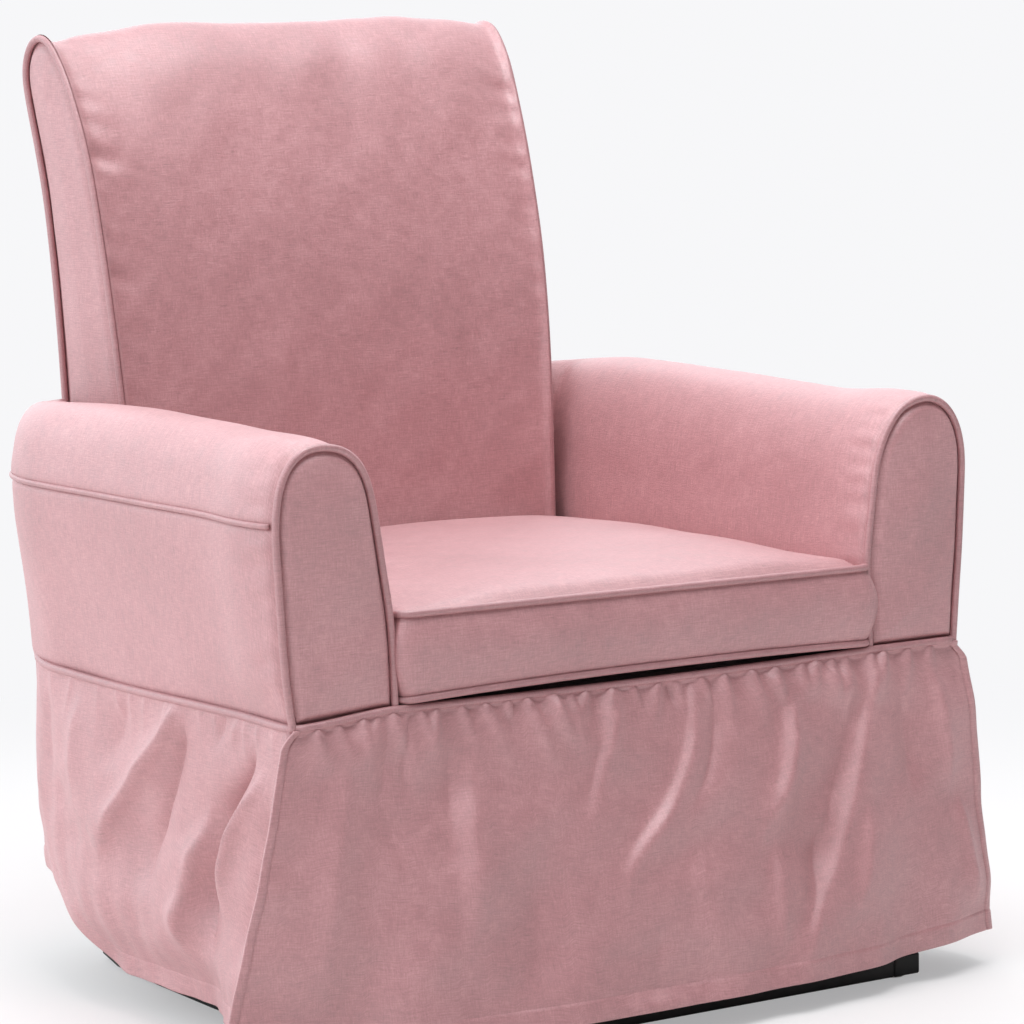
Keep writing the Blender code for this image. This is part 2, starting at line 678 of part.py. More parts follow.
def build_side_skirts():
    """Each side panel runs back along the arm and round the rear corner."""
    pieces = []
    turn_end = math.radians(62)
    for side, sign in SIDES.items():
        def surface(u, v, sign=sign):
            radius = CORNER_RADIUS + 0.05 * v
            half_width = SKIRT_SIDE - 0.018 * v
            straight = CHAIR_DEPTH - radius
            run = straight + radius * turn_end
            along = 0.004 + (run - 0.004) * u
            if along <= straight:
                x, distance = half_width, along
            else:
                angle = (along - straight) / radius
                x = half_width - radius * (1 - math.cos(angle))
                distance = straight + radius * math.sin(angle)
            z = SKIRT_TOP + (hem_height(distance) - SKIRT_TOP) * v
            return Vector((sign * x, depth(distance), z))

        pieces.append(sheet(f"skirt_{side}", surface, 14, 4, SKIRT_THICKNESS, "upholstery"))
    return pieces


def build_rear_skirt():
    """The rear panel closes the skirt between the two rounded corners."""
    turn_end = math.radians(62)

    def surface(u, v):
        across = 2 * u - 1
        radius = CORNER_RADIUS + 0.05 * v
        half_width = SKIRT_SIDE - 0.018 * v
        edge_x = half_width - radius * (1 - math.cos(turn_end)) - 0.003
        edge_distance = CHAIR_DEPTH - radius * (1 - math.sin(turn_end)) + 0.001
        x = across * edge_x
        distance = edge_distance + (CHAIR_DEPTH - edge_distance) * (1 - abs(across) ** 3)
        z = SKIRT_TOP + (SKIRT_REAR_HEM - SKIRT_TOP) * v
        return Vector((x, depth(distance), z))

    return sheet("skirt_rear", surface, 12, 4, SKIRT_THICKNESS, "upholstery")


def build_chair():
    pivot_side, pivot_end = "left", "front"
    pivot = add_empty("chair_pivot", (SIDES[pivot_side] * LOWER_RAIL_OUT,
                                      depth(LINK_STATIONS[pivot_end]), LOWER_PIVOT_Z))
    pieces = build_lower_rails() + build_hanger_brackets() + build_seat_frame() + build_seat_springs()
    pieces += [build_deck(), build_outside_back(), build_front_skirt(), build_rear_skirt()]
    pieces += build_arms() + build_back() + build_side_skirts()
    for piece in pieces:
        attach(piece, pivot)
    cushion_place = add_empty("cushion_place", (0, depth(SEAT_DEPTH / 2), CUSHION_BOTTOM))
    attach(build_seat_cushion(), cushion_place)
    attach(cushion_place, pivot)


build_floor_base()
build_floor_glides()
build_uprights()
build_upper_pivots()
build_stop_bars()
build_links()
build_chair()
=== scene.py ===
"""Looks of the skirted glider chair: piped upholstery, gathered skirt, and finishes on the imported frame."""
import math

import bmesh
import bpy
import numpy as np
from mathutils import Matrix, Vector


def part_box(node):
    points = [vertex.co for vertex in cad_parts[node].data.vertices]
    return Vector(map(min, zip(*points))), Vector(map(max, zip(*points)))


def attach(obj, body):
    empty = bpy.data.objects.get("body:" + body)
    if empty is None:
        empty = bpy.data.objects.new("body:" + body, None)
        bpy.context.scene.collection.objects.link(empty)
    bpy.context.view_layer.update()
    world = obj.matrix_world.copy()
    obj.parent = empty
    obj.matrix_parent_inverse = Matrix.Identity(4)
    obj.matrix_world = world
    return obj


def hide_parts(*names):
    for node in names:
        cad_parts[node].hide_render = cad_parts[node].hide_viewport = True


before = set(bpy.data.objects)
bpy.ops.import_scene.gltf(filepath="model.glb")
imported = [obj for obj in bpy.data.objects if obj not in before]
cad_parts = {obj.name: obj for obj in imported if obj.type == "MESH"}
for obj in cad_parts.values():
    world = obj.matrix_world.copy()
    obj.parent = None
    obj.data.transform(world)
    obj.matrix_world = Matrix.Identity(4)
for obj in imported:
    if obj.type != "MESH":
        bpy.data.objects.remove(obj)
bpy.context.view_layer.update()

SIDES = {"left": -1.0, "right": 1.0}

# ---------- Places taken from the frame, in metres ----------
arm_low, arm_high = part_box("arm_left")
back_low, back_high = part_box("back_cushion")
FRONT = arm_low.y
SEAM_Z = arm_low.z
ARM_LENGTH = arm_high.y - FRONT
ARM_OUTER = -arm_low.x
ARM_CLOSE = -arm_high.x
CHAIR_DEPTH = 0.690
CORNER_RADIUS = 0.200           # rounded rear corners, in plan
ARM_INNER = 0.290               # foot of an arm's inner face
ARM_ARCH_INNER = 0.308          # where an arm's rounded top begins, inside
WELT_Z = 0.529                  # the piped seam high on an arm's outside
PIPE = 0.0038                   # radius of the piping
BACK_FOOT_Z = back_low.z
BACK_FOOT_HALF = 0.262
BACK_TOP_HALF = back_high.x
BACK_CORNER_Z = 0.980           # where the back is BACK_TOP_HALF wide
CUSHION_HALF = 0.2835
CUSHION_REAR = 0.530
SEAM_HALF = 0.3985              # half the chair's width at the seam above the skirt
PANEL_HALF = 0.3975             # the same for the skirt's side and rear panels
SKIRT_TOP = SEAM_Z - 0.001
CORNER_GROWTH = 0.020           # how much wider the rear corners' radius is at the hem
SKIRT_CLOTH = 0.0024            # thickness of the skirt


def depth(distance):
    """Y of a point at this distance behind the front plane of the arms."""
    return FRONT + distance


# ---------- Numbers and curves ----------
def ease(start, end, value):
    """Smooth step from 0 at start to 1 at end, which may be the lower of the two."""
    share = np.clip((np.asarray(value, float) - start) / (end - start), 0.0, 1.0)
    return share * share * (3 - 2 * share)


def swell(value, centre, width):
    """A bump 1 high that fades to nothing about two widths from its centre."""
    return np.exp(-(((np.asarray(value, float) - centre) / width) ** 2))


def unevenness(a, b, size, seed):
    """Smooth irregular field, about -1 to 1, with lumps of about this size."""
    waves = 14
    random = np.random.default_rng(seed)
    total = np.zeros(np.broadcast(a, b).shape)
    for _ in range(waves):
        turn, phase = random.uniform(0, 2 * math.pi, 2)
        rate = 2 * math.pi / (size * random.uniform(1.4, 3.4))
        total += np.sin(rate * (a * math.cos(turn) + b * math.sin(turn)) + phase)
    return total / math.sqrt(waves)


def run_along(points):
    steps = np.linalg.norm(np.diff(points, axis=0), axis=1)
    return np.concatenate([[0.0], np.cumsum(steps)])


def curve(points, count, closed=False):
    """A smooth curve through the points, cut into even steps."""
    points = np.asarray(points, float)
    if closed:
        points = np.vstack([points[-1], points, points[0], points[1]])
    else:
        points = np.vstack([2 * points[0] - points[1], points, 2 * points[-1] - points[-2]])
    share = np.linspace(0, 1, 16, endpoint=False)[:, None]
    pieces = []
    for a, b, c, d in zip(points, points[1:], points[2:], points[3:]):
        pieces.append(0.5 * (2 * b + (c - a) * share + (2 * a - 5 * b + 4 * c - d) * share ** 2
                             + (3 * b - a - 3 * c + d) * share ** 3))
    fine = np.vstack(pieces + [points[-2:-1]])
    run = run_along(fine)
    at = np.linspace(0, run[-1], count)
    return np.stack([np.interp(at, run, fine[:, k]) for k in range(fine.shape[1])], 1)


def relax(points, times):
    """The line with its bends softened. Its ends stay."""
    points = points.copy()
    for _ in range(times):
        points[1:-1] = (points[:-2] + 2 * points[1:-1] + points[2:]) / 4
    return points


def graded(count, near):
    """Shares from 0 to 1 that are closer together near 0."""
    share = np.linspace(0, 1, count)
    return share * (near + (1 - near) * share)


def surface(x, y, z):
    """Grid of points from coordinates that may each be a number, a row, a column or a grid."""
    return np.stack(np.broadcast_arrays(x, y, z), 2)


def normals(points):
    across = np.gradient(points, axis=1)
    along = np.gradient(points, axis=0)
    found = np.cross(across, along)
    return found / (np.linalg.norm(found, axis=2, keepdims=True) + 1e-12)


def metre_uv(points):
    """UVs in metres, measured along the rows and columns."""
    across = np.linalg.norm(np.diff(points, axis=1), axis=2)
    along = np.linalg.norm(np.diff(points, axis=0), axis=2)
    u = np.concatenate([np.zeros((points.shape[0], 1)), np.cumsum(across, axis=1)], axis=1)
    v = np.concatenate([np.zeros((1, points.shape[1])), np.cumsum(along, axis=0)], axis=0)
    middle = points.shape[1] // 2
    return np.stack([u - u[:, middle:middle + 1], v], 2)


# ---------- Meshes ----------
class Shape:
    """Grids of points collected into one mesh."""

    WELD = 2e-5
    TUBE_SIDES = 10

    def __init__(self):
        self.points, self.faces, self.uvs, self.count = [], [], [], 0

    def grid(self, points, uv=None, flip=False):
        rows, columns = points.shape[:2]
        uv = metre_uv(points) if uv is None else uv
        index = np.arange(rows * columns).reshape(rows, columns)
        quads = np.stack([index[:-1, :-1], index[:-1, 1:], index[1:, 1:], index[1:, :-1]], -1)
        quads = quads.reshape(-1, 4)
        if flip:
            quads = quads[:, ::-1]
        self.points.append(points.reshape(-1, 3))
        self.faces.append(quads + self.count)
        self.uvs.append(uv.reshape(-1, 2)[quads].reshape(-1, 2))
        self.count += rows * columns
        return self

    def tube(self, path, radius=PIPE, closed=False):
        """A round cord along the path."""
        path = np.asarray(path, float)
        if closed:
            path = np.vstack([path, path[:1]])
        tangent = np.gradient(path, axis=0)
        if closed:
            tangent[0] = tangent[-1] = path[1] - path[-2]
        tangent /= np.linalg.norm(tangent, axis=1, keepdims=True) + 1e-12
        start = np.cross(tangent[0], (0.3, 0.2, 0.9))
        start /= np.linalg.norm(start)
        frames = [start]
        for step in range(1, len(path)):
            moved = frames[-1] - tangent[step] * np.dot(frames[-1], tangent[step])
            frames.append(moved / np.linalg.norm(moved))
        first = np.array(frames)
        second = np.cross(tangent, first)
        if closed:
            first[-1], second[-1] = first[0], second[0]
        angle = np.linspace(0, 2 * math.pi, self.TUBE_SIDES + 1)
        ring = (first[:, None, :] * np.cos(angle)[None, :, None]
                + second[:, None, :] * np.sin(angle)[None, :, None])
        points = path[:, None, :] + radius * ring
        run = run_along(path)
        if not closed:
            ends = [np.repeat(end[None, None], len(angle), 1) for end in (path[0], path[-1])]
            points = np.concatenate([ends[0], points, ends[1]])
            run = np.concatenate([run[:1] - radius, run, run[-1:] + radius])
        around = angle * radius
        uv = np.stack(np.broadcast_arrays(around[None, :], run[:, None]), 2)
        return self.grid(points, uv, flip=True)

    def build(self, name, finish, body):
        mesh = bpy.data.meshes.new(name)
        mesh.from_pydata(np.concatenate(self.points).tolist(), [], np.concatenate(self.faces).tolist())
        layer = mesh.uv_layers.new(name="UVMap")
        layer.data.foreach_set("uv", np.concatenate(self.uvs).ravel())
        welded = bmesh.new()
        welded.from_mesh(mesh)
        bmesh.ops.remove_doubles(welded, verts=welded.verts, dist=self.WELD)
        bmesh.ops.dissolve_degenerate(welded, edges=welded.edges, dist=self.WELD / 4)
        for face in welded.faces:
            face.smooth = True
        welded.to_mesh(mesh)
        welded.free()
        mesh.materials.append(MATERIALS[finish])
        made = bpy.data.objects.new(name, mesh)
        bpy.context.scene.collection.objects.link(made)
        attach(made, body)
        return made


def filled(outline, centres, shares, rise):
    """Rings from an outline to its centre line, each moved by rise(share, ring)."""
    return np.array([rise(share, centres + (outline - centres) * share) for share in shares])


def thicken(piece, thickness):
    """Gives a single surface the thickness of its cloth, inwards."""
    modifier = piece.modifiers.new("cloth_thickness", "SOLIDIFY")
    modifier.thickness = thickness
    modifier.offset = -1.0


# ---------- Materials ----------
class Nodes:
    """Short calls for a material's nodes."""

    def __init__(self, name):
        self.material = bpy.data.materials.new(name)
        self.material.use_nodes = True
        self.tree = self.material.node_tree
        self.tree.nodes.clear()
        self.output = self.tree.nodes.new("ShaderNodeOutputMaterial")
        self.place = self.tree.nodes.new("ShaderNodeTexCoord")

    def add(self, kind, sockets=None, **settings):
        made = self.tree.nodes.new("ShaderNode" + kind)
        for key, value in settings.items():
            setattr(made, key, value)
        for key, value in (sockets or {}).items():
            if isinstance(value, bpy.types.NodeSocket):
                self.tree.links.new(value, made.inputs[key])
            else:
                made.inputs[key].default_value = value
        return made

    def stretched(self, source, scale):
        return self.add("Mapping", {"Vector": source, "Scale": scale}).outputs["Vector"]

    def noise(self, source, scale, detail=2.0, roughness=0.5):
        sockets = {"Vector": source, "Scale": scale, "Detail": detail, "Roughness": roughness}
        return self.add("TexNoise", sockets).outputs[0]

    def bands(self, source, period, distortion, detail_scale):
        sockets = {"Vector": source, "Scale": math.pi / (10 * period), "Distortion": distortion,
                   "Detail": 1.0, "Detail Scale": detail_scale}
        return self.add("TexWave", sockets, bands_direction="DIAGONAL").outputs["Fac"]

    def maths(self, operation, a, b):
        return self.add("Math", {0: a, 1: b}, operation=operation).outputs[0]

    def total(self, *terms):
        result = terms[0]
        for term in terms[1:]:
            result = self.maths("ADD", result, term)
        return result

    def spread(self, source, low, high, to_low, to_high):
        made = self.add("MapRange", {"Value": source, "From Min": low, "From Max": high,
                                     "To Min": to_low, "To Max": to_high})
        return made.outputs["Result"]

    def swing(self, source, amount):
        """The middle half of a texture's range, as a change of tone either way."""
        return self.spread(source, 0.25, 0.75, -amount, amount)

    def ramp(self, source, *stops):
        made = self.add("ValToRGB", {"Fac": source})
        elements = made.color_ramp.elements
        while len(elements) < len(stops):
            elements.new(0.5)
        for element, (place, colour) in zip(elements, stops):
            element.position = place
            element.color = (*colour, 1.0)
        return made.outputs["Color"]

    def finish(self, colour, roughness, height, bump, strength, **constants):
        """A Principled shader. Constants go straight on its sockets."""
        shader = self.add("BsdfPrincipled", {"Base Color": colour, "Roughness": roughness})
        for key, value in constants.items():
            shader.inputs[key.replace("_", " ")].default_value = value
        made = self.add("Bump", {"Height": height, "Distance": bump, "Strength": strength})
        self.tree.links.new(made.outputs["Normal"], shader.inputs["Normal"])
        self.tree.links.new(shader.outputs[0], self.output.inputs["Surface"])
        return self.material


def upholstery_material(name, dark, middle, light, sheen):
    """Heathered woven cloth: threads of uneven thickness both ways, soft mottling and a pale nap."""
    n = Nodes(name)
    solid, flat = n.place.outputs["Object"], n.place.outputs["UV"]
    patches = n.noise(solid, 70.0, 3.0, 0.6)
    clouds = n.noise(solid, 8.0, 2.0)
    weft = n.noise(n.stretched(flat, (55.0, 760.0, 1.0)), 1.0, 3.0, 0.7)
    warp = n.noise(n.stretched(flat, (760.0, 70.0, 1.0)), 1.0, 3.0, 0.7)
    specks = n.noise(solid, 520.0, 2.0, 0.7)
    marks = n.noise(n.stretched(flat, (60.0, 430.0, 1.0)), 1.0, 1.0)
    tone = n.total(n.swing(patches, 0.13), n.spread(clouds, 0.3, 0.7, -0.11, 0.11), n.swing(weft, 0.28),
                   n.swing(warp, 0.22), n.swing(specks, 0.14), n.spread(marks, 0.66, 0.76, 0.5, 0.26))
    colour = n.ramp(tone, (0.0, dark), (0.5, middle), (1.0, light))
    height = n.total(warp, weft, specks)
    rough = n.spread(patches, 0.3, 0.7, 0.48, 0.60)
    return n.finish(colour, rough, height, 0.0005, 0.55, Specular_IOR_Level=1.0, IOR=1.75,
                    Sheen_Weight=sheen, Sheen_Roughness=0.9, Sheen_Tint=(1.0, 0.97, 0.98, 1.0))


def deck_material():
    n = Nodes("deck_cloth_finish")
    flat = n.place.outputs["UV"]
    fibres = n.noise(n.stretched(flat, (300.0, 900.0, 1.0)), 1.0, 3.0)
    dots = n.bands(flat, 0.003, 3.0, 4.0)
    colour = n.ramp(fibres, (0.2, (0.020, 0.015, 0.015)), (0.8, (0.050, 0.040, 0.040)))
    return n.finish(colour, 0.95, n.total(fibres, dots), 0.0004, 0.6, Sheen_Weight=0.1)


def wood_material():
    n = Nodes("hardwood_finish")
    solid = n.place.outputs["Object"]
    grain = n.noise(n.stretched(solid, (18.0, 220.0, 220.0)), 1.0, 4.0, 0.6)
    rings = n.bands(n.stretched(solid, (1.0, 8.0, 8.0)), 0.05, 6.0, 1.5)
    tone = n.total(n.maths("MULTIPLY", grain, 0.6), n.maths("MULTIPLY", rings, 0.35))
    colour = n.ramp(tone, (0.15, (0.30, 0.17, 0.08)), (0.5, (0.50, 0.33, 0.18)), (0.85, (0.66, 0.48, 0.29)))
    return n.finish(colour, n.spread(grain, 0.2, 0.8, 0.55, 0.8), grain, 0.0004, 0.5)


def powder_coat_material():
    n = Nodes("black_steel_finish")
    solid = n.place.outputs["Object"]
    peel = n.noise(solid, 900.0, 2.0)
    dust = n.noise(solid, 30.0, 4.0, 0.7)
    colour = n.ramp(dust, (0.35, (0.006, 0.006, 0.006)), (0.75, (0.016, 0.015, 0.015)))
    rough = n.spread(dust, 0.3, 0.7, 0.46, 0.62)
    return n.finish(colour, rough, peel, 0.0002, 0.35, Specular_IOR_Level=0.3)


def bare_steel_material(name, dark, light, rough):
    n = Nodes(name)
    solid = n.place.outputs["Object"]
    spangle = n.add("TexVoronoi", {"Vector": solid, "Scale": 160.0}).outputs["Color"]
    streaks = n.noise(n.stretched(solid, (900.0, 900.0, 60.0)), 1.0, 3.0)
    tone = n.total(n.maths("MULTIPLY", spangle, 0.4), n.maths("MULTIPLY", streaks, 0.6))
    colour = n.ramp(tone, (0.2, dark), (0.8, light))
    roughness = n.spread(streaks, 0.3, 0.7, rough, rough + 0.16)
    return n.finish(colour, roughness, streaks, 0.0001, 0.3, Metallic=1.0)


def plastic_material(name, dark, light, rough, grain_scale):
    n = Nodes(name)
    grain = n.noise(n.place.outputs["Object"], grain_scale, 3.0)
    wear = n.noise(n.place.outputs["Object"], 60.0, 2.0)
    colour = n.ramp(wear, (0.3, dark), (0.7, light))
    return n.finish(colour, n.spread(wear, 0.3, 0.7, rough, rough + 0.12), grain, 0.0002, 0.4)


STUDIO_WHITE = (0.93, 0.93, 0.945, 1.0)


def floor_material():
    """White studio floor that runs out into the white of the surroundings."""
    n = Nodes("studio_floor")
    distance = n.add("VectorMath", {0: n.place.outputs["Object"]}, operation="LENGTH").outputs["Value"]
    near = n.add("BsdfDiffuse", {"Color": (0.80, 0.755, 0.74, 1.0)})
    far = n.add("Emission", {"Color": STUDIO_WHITE, "Strength": 1.0})
    share = n.add("MapRange", {"Value": distance, "From Min": 0.55, "From Max": 1.9, "To Min": 0.40},
                  interpolation_type="SMOOTHSTEP").outputs["Result"]
    share = n.maths("MULTIPLY", share, n.add("LightPath").outputs["Is Camera Ray"])
    mixed = n.add("MixShader", {0: share, 1: near.outputs[0], 2: far.outputs[0]})
    n.tree.links.new(mixed.outputs[0], n.output.inputs["Surface"])
    return n.material


MATERIALS = {
    "upholstery": upholstery_material("upholstery_finish", (0.30, 0.085, 0.091), (0.455, 0.152, 0.163),
                                      (0.61, 0.263, 0.277), 0.18),
    # The piping is cut from the cover's own cloth; its darker colours are painted shade of the grooves on
    # both sides of it.
    "piping": upholstery_material("piping_finish", (0.28, 0.086, 0.093), (0.395, 0.132, 0.142),
                                  (0.52, 0.210, 0.223), 0.12),
    "deck_cloth": deck_material(),
    "hardwood": wood_material(),
    "black_steel": powder_coat_material(),
    "zinc_steel": bare_steel_material("zinc_steel_finish", (0.42, 0.42, 0.41), (0.66, 0.66, 0.63), 0.30),
    "spring_steel": bare_steel_material("spring_steel_finish", (0.10, 0.10, 0.10), (0.24, 0.24, 0.24), 0.38),
    "nylon": plastic_material("nylon_finish", (0.66, 0.63, 0.56), (0.78, 0.76, 0.70), 0.42, 500.0),
    "rubber": plastic_material("rubber_finish", (0.018, 0.018, 0.018), (0.035, 0.034, 0.034), 0.72, 900.0),
}
for cad_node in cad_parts.values():
    for material_slot in cad_node.material_slots:
        material_slot.material = MATERIALS[material_slot.material.name.split(".")[0]]

# ---------- Arms ----------
ARM_OUTLINES = {
    "left": [(0.290, 0.350), (0.291, 0.395), (0.294, 0.440), (0.300, 0.478), (0.307, 0.524), (0.314, 0.560),
             (0.325, 0.584), (0.342, 0.597), (0.361, 0.601), (0.380, 0.600), (0.397, 0.590), (0.410, 0.568),
             (0.416, 0.533), (0.415, 0.492), (0.410, 0.445), (0.404, 0.398), (0.397, 0.350)],
    "right": [(0.286, 0.350), (0.284, 0.395), (0.283, 0.440), (0.289, 0.490), (0.296, 0.536), (0.308, 0.567),
              (0.327, 0.591), (0.347, 0.599), (0.367, 0.601), (0.388, 0.591), (0.402, 0.571), (0.409, 0.541),
              (0.408, 0.500), (0.405, 0.445), (0.401, 0.398), (0.397, 0.350)],
}


def plan_half_width(distance, widest):
    """Half width of the chair in plan: straight sides, rounded rear corners."""
    past = np.clip(np.asarray(distance, float) - (CHAIR_DEPTH - CORNER_RADIUS), 0, CORNER_RADIUS)
    return widest - CORNER_RADIUS + np.sqrt(CORNER_RADIUS ** 2 - past ** 2)


def left_lean(d):
    """How far the left seam stands outside the right one: out at the front, in towards the rear."""
    return 0.006 * (1 - ease(0.0, 0.12, d)) - 0.008 * ease(0.25, 0.58, d)


def seam_drop(x, d):
    """The seam hangs lower along the left side."""
    return ease(0.29, 0.40, -np.asarray(x)) * (0.007 + 0.005 * ease(0.0, 0.45, d))


def arm_outline(side):
    """Outline of an arm's section with close points at the piped seam, its run, and the seam's run."""
    outline = relax(curve(ARM_OUTLINES[side], 150), 10)
    low = int(np.argmin(np.where(outline[:, 0] > 0.35, np.abs(outline[:, 1] - WELT_Z), 1)))
    run = run_along(outline)
    near = np.array([0.0015, 0.003, 0.005, 0.008, 0.012])
    close = run[low] + np.concatenate([-near[::-1], [0], near])
    at = np.sort(np.concatenate([run[np.abs(run - run[low]) > 0.014], close]))
    outline = np.stack([np.interp(at, run, outline[:, k]) for k in range(2)], 1)
    return outline, at, run[low]


def hang(side, x, z, d):
    """The left arm's outer side follows its lower, leaning seam. Both arms reach down to the piping."""
    if side == "left":
        lean = left_lean(d) * ease(0.36, 0.40, x) * ease(0.500, 0.380, z)
        top_drop = 0.004 * ease(0.40, 0.67, d) * ease(0.54, 0.60, z)
        z = z - seam_drop(-x, d) * (1 - ease(0.350, 0.440, z)) - top_drop
        x = x + lean
    return x, z - 0.0022 * (1 - ease(0.350, 0.400, z))


def arm_cover(side, sign):
    """Points of an arm's cover from the front piping to the rear, with the outline that they follow."""
    outline, run, welt = arm_outline(side)
    behind_piping = [0.0, 0.0015, 0.003, 0.005, 0.008, 0.012, 0.017, 0.023]
    d = np.concatenate([behind_piping, np.linspace(0.03, ARM_LENGTH, 92)])[:, None]
    x0, z0, along = outline[None, :, 0], outline[None, :, 1], run[None, :]
    beside_back = ease(0.582, 0.614, d)
    outer = plan_half_width(d, ARM_OUTER)
    open_x = ARM_INNER + (x0 - ARM_INNER) * (outer - ARM_INNER) / (ARM_OUTER - ARM_INNER)
    closed = ARM_CLOSE - 0.003
    outward = np.clip((x0 - ARM_ARCH_INNER) / (ARM_OUTER - ARM_ARCH_INNER), 0, 1.04)
    x = open_x * (1 - beside_back) + (closed + outward * (outer - closed)) * beside_back
    x, z = hang(side, x, z0, d)
    crown_height, bend = (0.014, 1.0) if side == "left" else (0.012, 2.0)
    crown = crown_height * np.sin(math.pi * np.clip(d / ARM_LENGTH, 0, 1) ** bend)
    points = surface(x, depth(d), z + crown * ease(0.530, 0.600, z0))

    on_side = ease(0.36, 0.40, x0) * ease(0.352, 0.40, z0)
    padded = 0.0105 * on_side + 0.004 * (1 - on_side) * ease(0.36, 0.42, z0)
    offset = -0.0050 * (1 - ease(0.0, 0.011, d)) + padded * swell(d, 0.052, 0.060)
    offset = offset + 0.0012 * ease(welt - 0.030, welt - 0.004, along) * (along <= welt)
    offset = offset - 0.0030 * swell(along, welt + 0.0015, 0.0035)
    offset = offset - 0.0012 * (1 - ease(0.350, 0.356, z0))
    lump_seed, pull_seed = (3, 7) if side == "left" else (4, 8)
    offset = offset + 0.0006 * unevenness(d, along, 0.065, lump_seed)
    pull = 0.0009 * swell(d, 0.022, 0.018)
    offset = offset + pull * unevenness(along * 2.2, d * 0.1, 0.022, pull_seed)
    points = points + normals(points) * offset[:, :, None]
    points[:, :, 0] *= sign
    return points, outline, welt, run


def build_arm(side, sign):
    points, outline, welt, run = arm_cover(side, sign)
    shape = Shape()
    shape.grid(points, flip=sign > 0)

    outline = np.stack(hang(side, outline[:, 0], outline[:, 1], 0.0), 1)
    loop = np.vstack([outline, np.linspace(outline[-1], outline[0], 24)[1:]])
    centre_z = np.clip(loop[:, 1], 0.392, 0.545)
    centres = np.stack([np.interp(centre_z, [0.392, 0.545], [0.346, 0.360]), centre_z], 1)
    seed = 21 if side == "left" else 22

    def front_face(share, ring):
        x, z = ring[:, 0], ring[:, 1]
        inside = 1 - share
        out = -0.0035 + 0.0085 * ease(0.0, 0.22, inside) + 0.0045 * ease(0.1, 1.0, inside)
        out = out + 0.0010 * unevenness(x, z, 0.045, seed) * ease(0, 0.3, inside)
        return np.stack([sign * x, depth(-out), z], 1)

    face = filled(loop, centres, 1 - graded(18, 0.10), front_face)
    shape.grid(face, face[:, :, [0, 2]], flip=sign < 0)

    foot = np.stack([np.linspace(row[0], row[-1], 8) for row in points])
    foot[:, :, 2] = points[:, :1, 2]
    shape.grid(foot, flip=sign < 0)
    end = points[-1]
    middle = end + np.array([0, 0.004, 0])
    middle[:, 0] = (end[0, 0] + end[-1, 0]) / 2
    middle[:, 2] = np.clip(end[:, 2], 0.37, 0.56)
    shape.grid(np.stack([end + (middle - end) * share for share in (0, 0.4, 0.8, 1.0)]), flip=sign > 0)
    cover = shape.build(f"arm_{side}_cover", "upholstery", "chair")
    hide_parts(f"arm_{side}")

    cords = Shape()
    edge = np.stack([sign * outline[:, 0], np.full(len(outline), depth(-0.0005)), outline[:, 1]], 1)
    into_seam = np.array([0, 0, 0.0035])
    cords.tube(np.vstack([edge[:1] - into_seam, edge, edge[-1:] - into_seam]))
    welt_column = int(np.argmin(np.abs(run - welt)))
    welt_line = points[3:, welt_column] + np.array([sign * 0.0016, 0, 0])
    cords.tube(welt_line, 0.0029)
    cords.build(f"arm_{side}_piping", "piping", "chair")


for side_name, side_sign in SIDES.items():
    build_arm(side_name, side_sign)


# ---------- Back ----------
BACK_PROFILE = [(0.538, 0.353), (0.544, 0.430), (0.549, 0.500), (0.556, 0.590), (0.567, 0.680),
                (0.582, 0.770), (0.602, 0.855), (0.632, 0.922), (0.658, 0.958), (0.682, 0.977),
                (0.707, 0.976), (0.725, 0.960), (0.732, 0.938), (0.726, 0.906), (0.713, 0.860),
                (0.700, 0.800), (0.691, 0.705), (0.688, 0.593), (0.688, 0.353)]
BACK_REAR_START = 12


def back_half(z, across):
    """Half width of the back. The right edge draws in below the top corner."""
    share = (np.asarray(z, float) - BACK_FOOT_Z) / (BACK_CORNER_Z - BACK_FOOT_Z)
    drawn_in = 0.009 * swell(z, 0.875, 0.11) * (np.asarray(across) > 0)
    return BACK_FOOT_HALF + (BACK_TOP_HALF - BACK_FOOT_HALF) * share - drawn_in


BACK_TOP_RISE = curve([(-1, 0.005), (-0.8, 0.011), (-0.55, 0.0175), (-0.12, 0.0195), (0.42, 0.0215),
                       (0.8, 0.019), (1, 0.013)], 60)


def back_lift(across, z):
    """The top is crowned, and a little higher towards the right."""
    rise = np.interp(across, BACK_TOP_RISE[:, 0], BACK_TOP_RISE[:, 1])
    return rise * np.clip((z - 0.70) / 0.28, 0, 1)


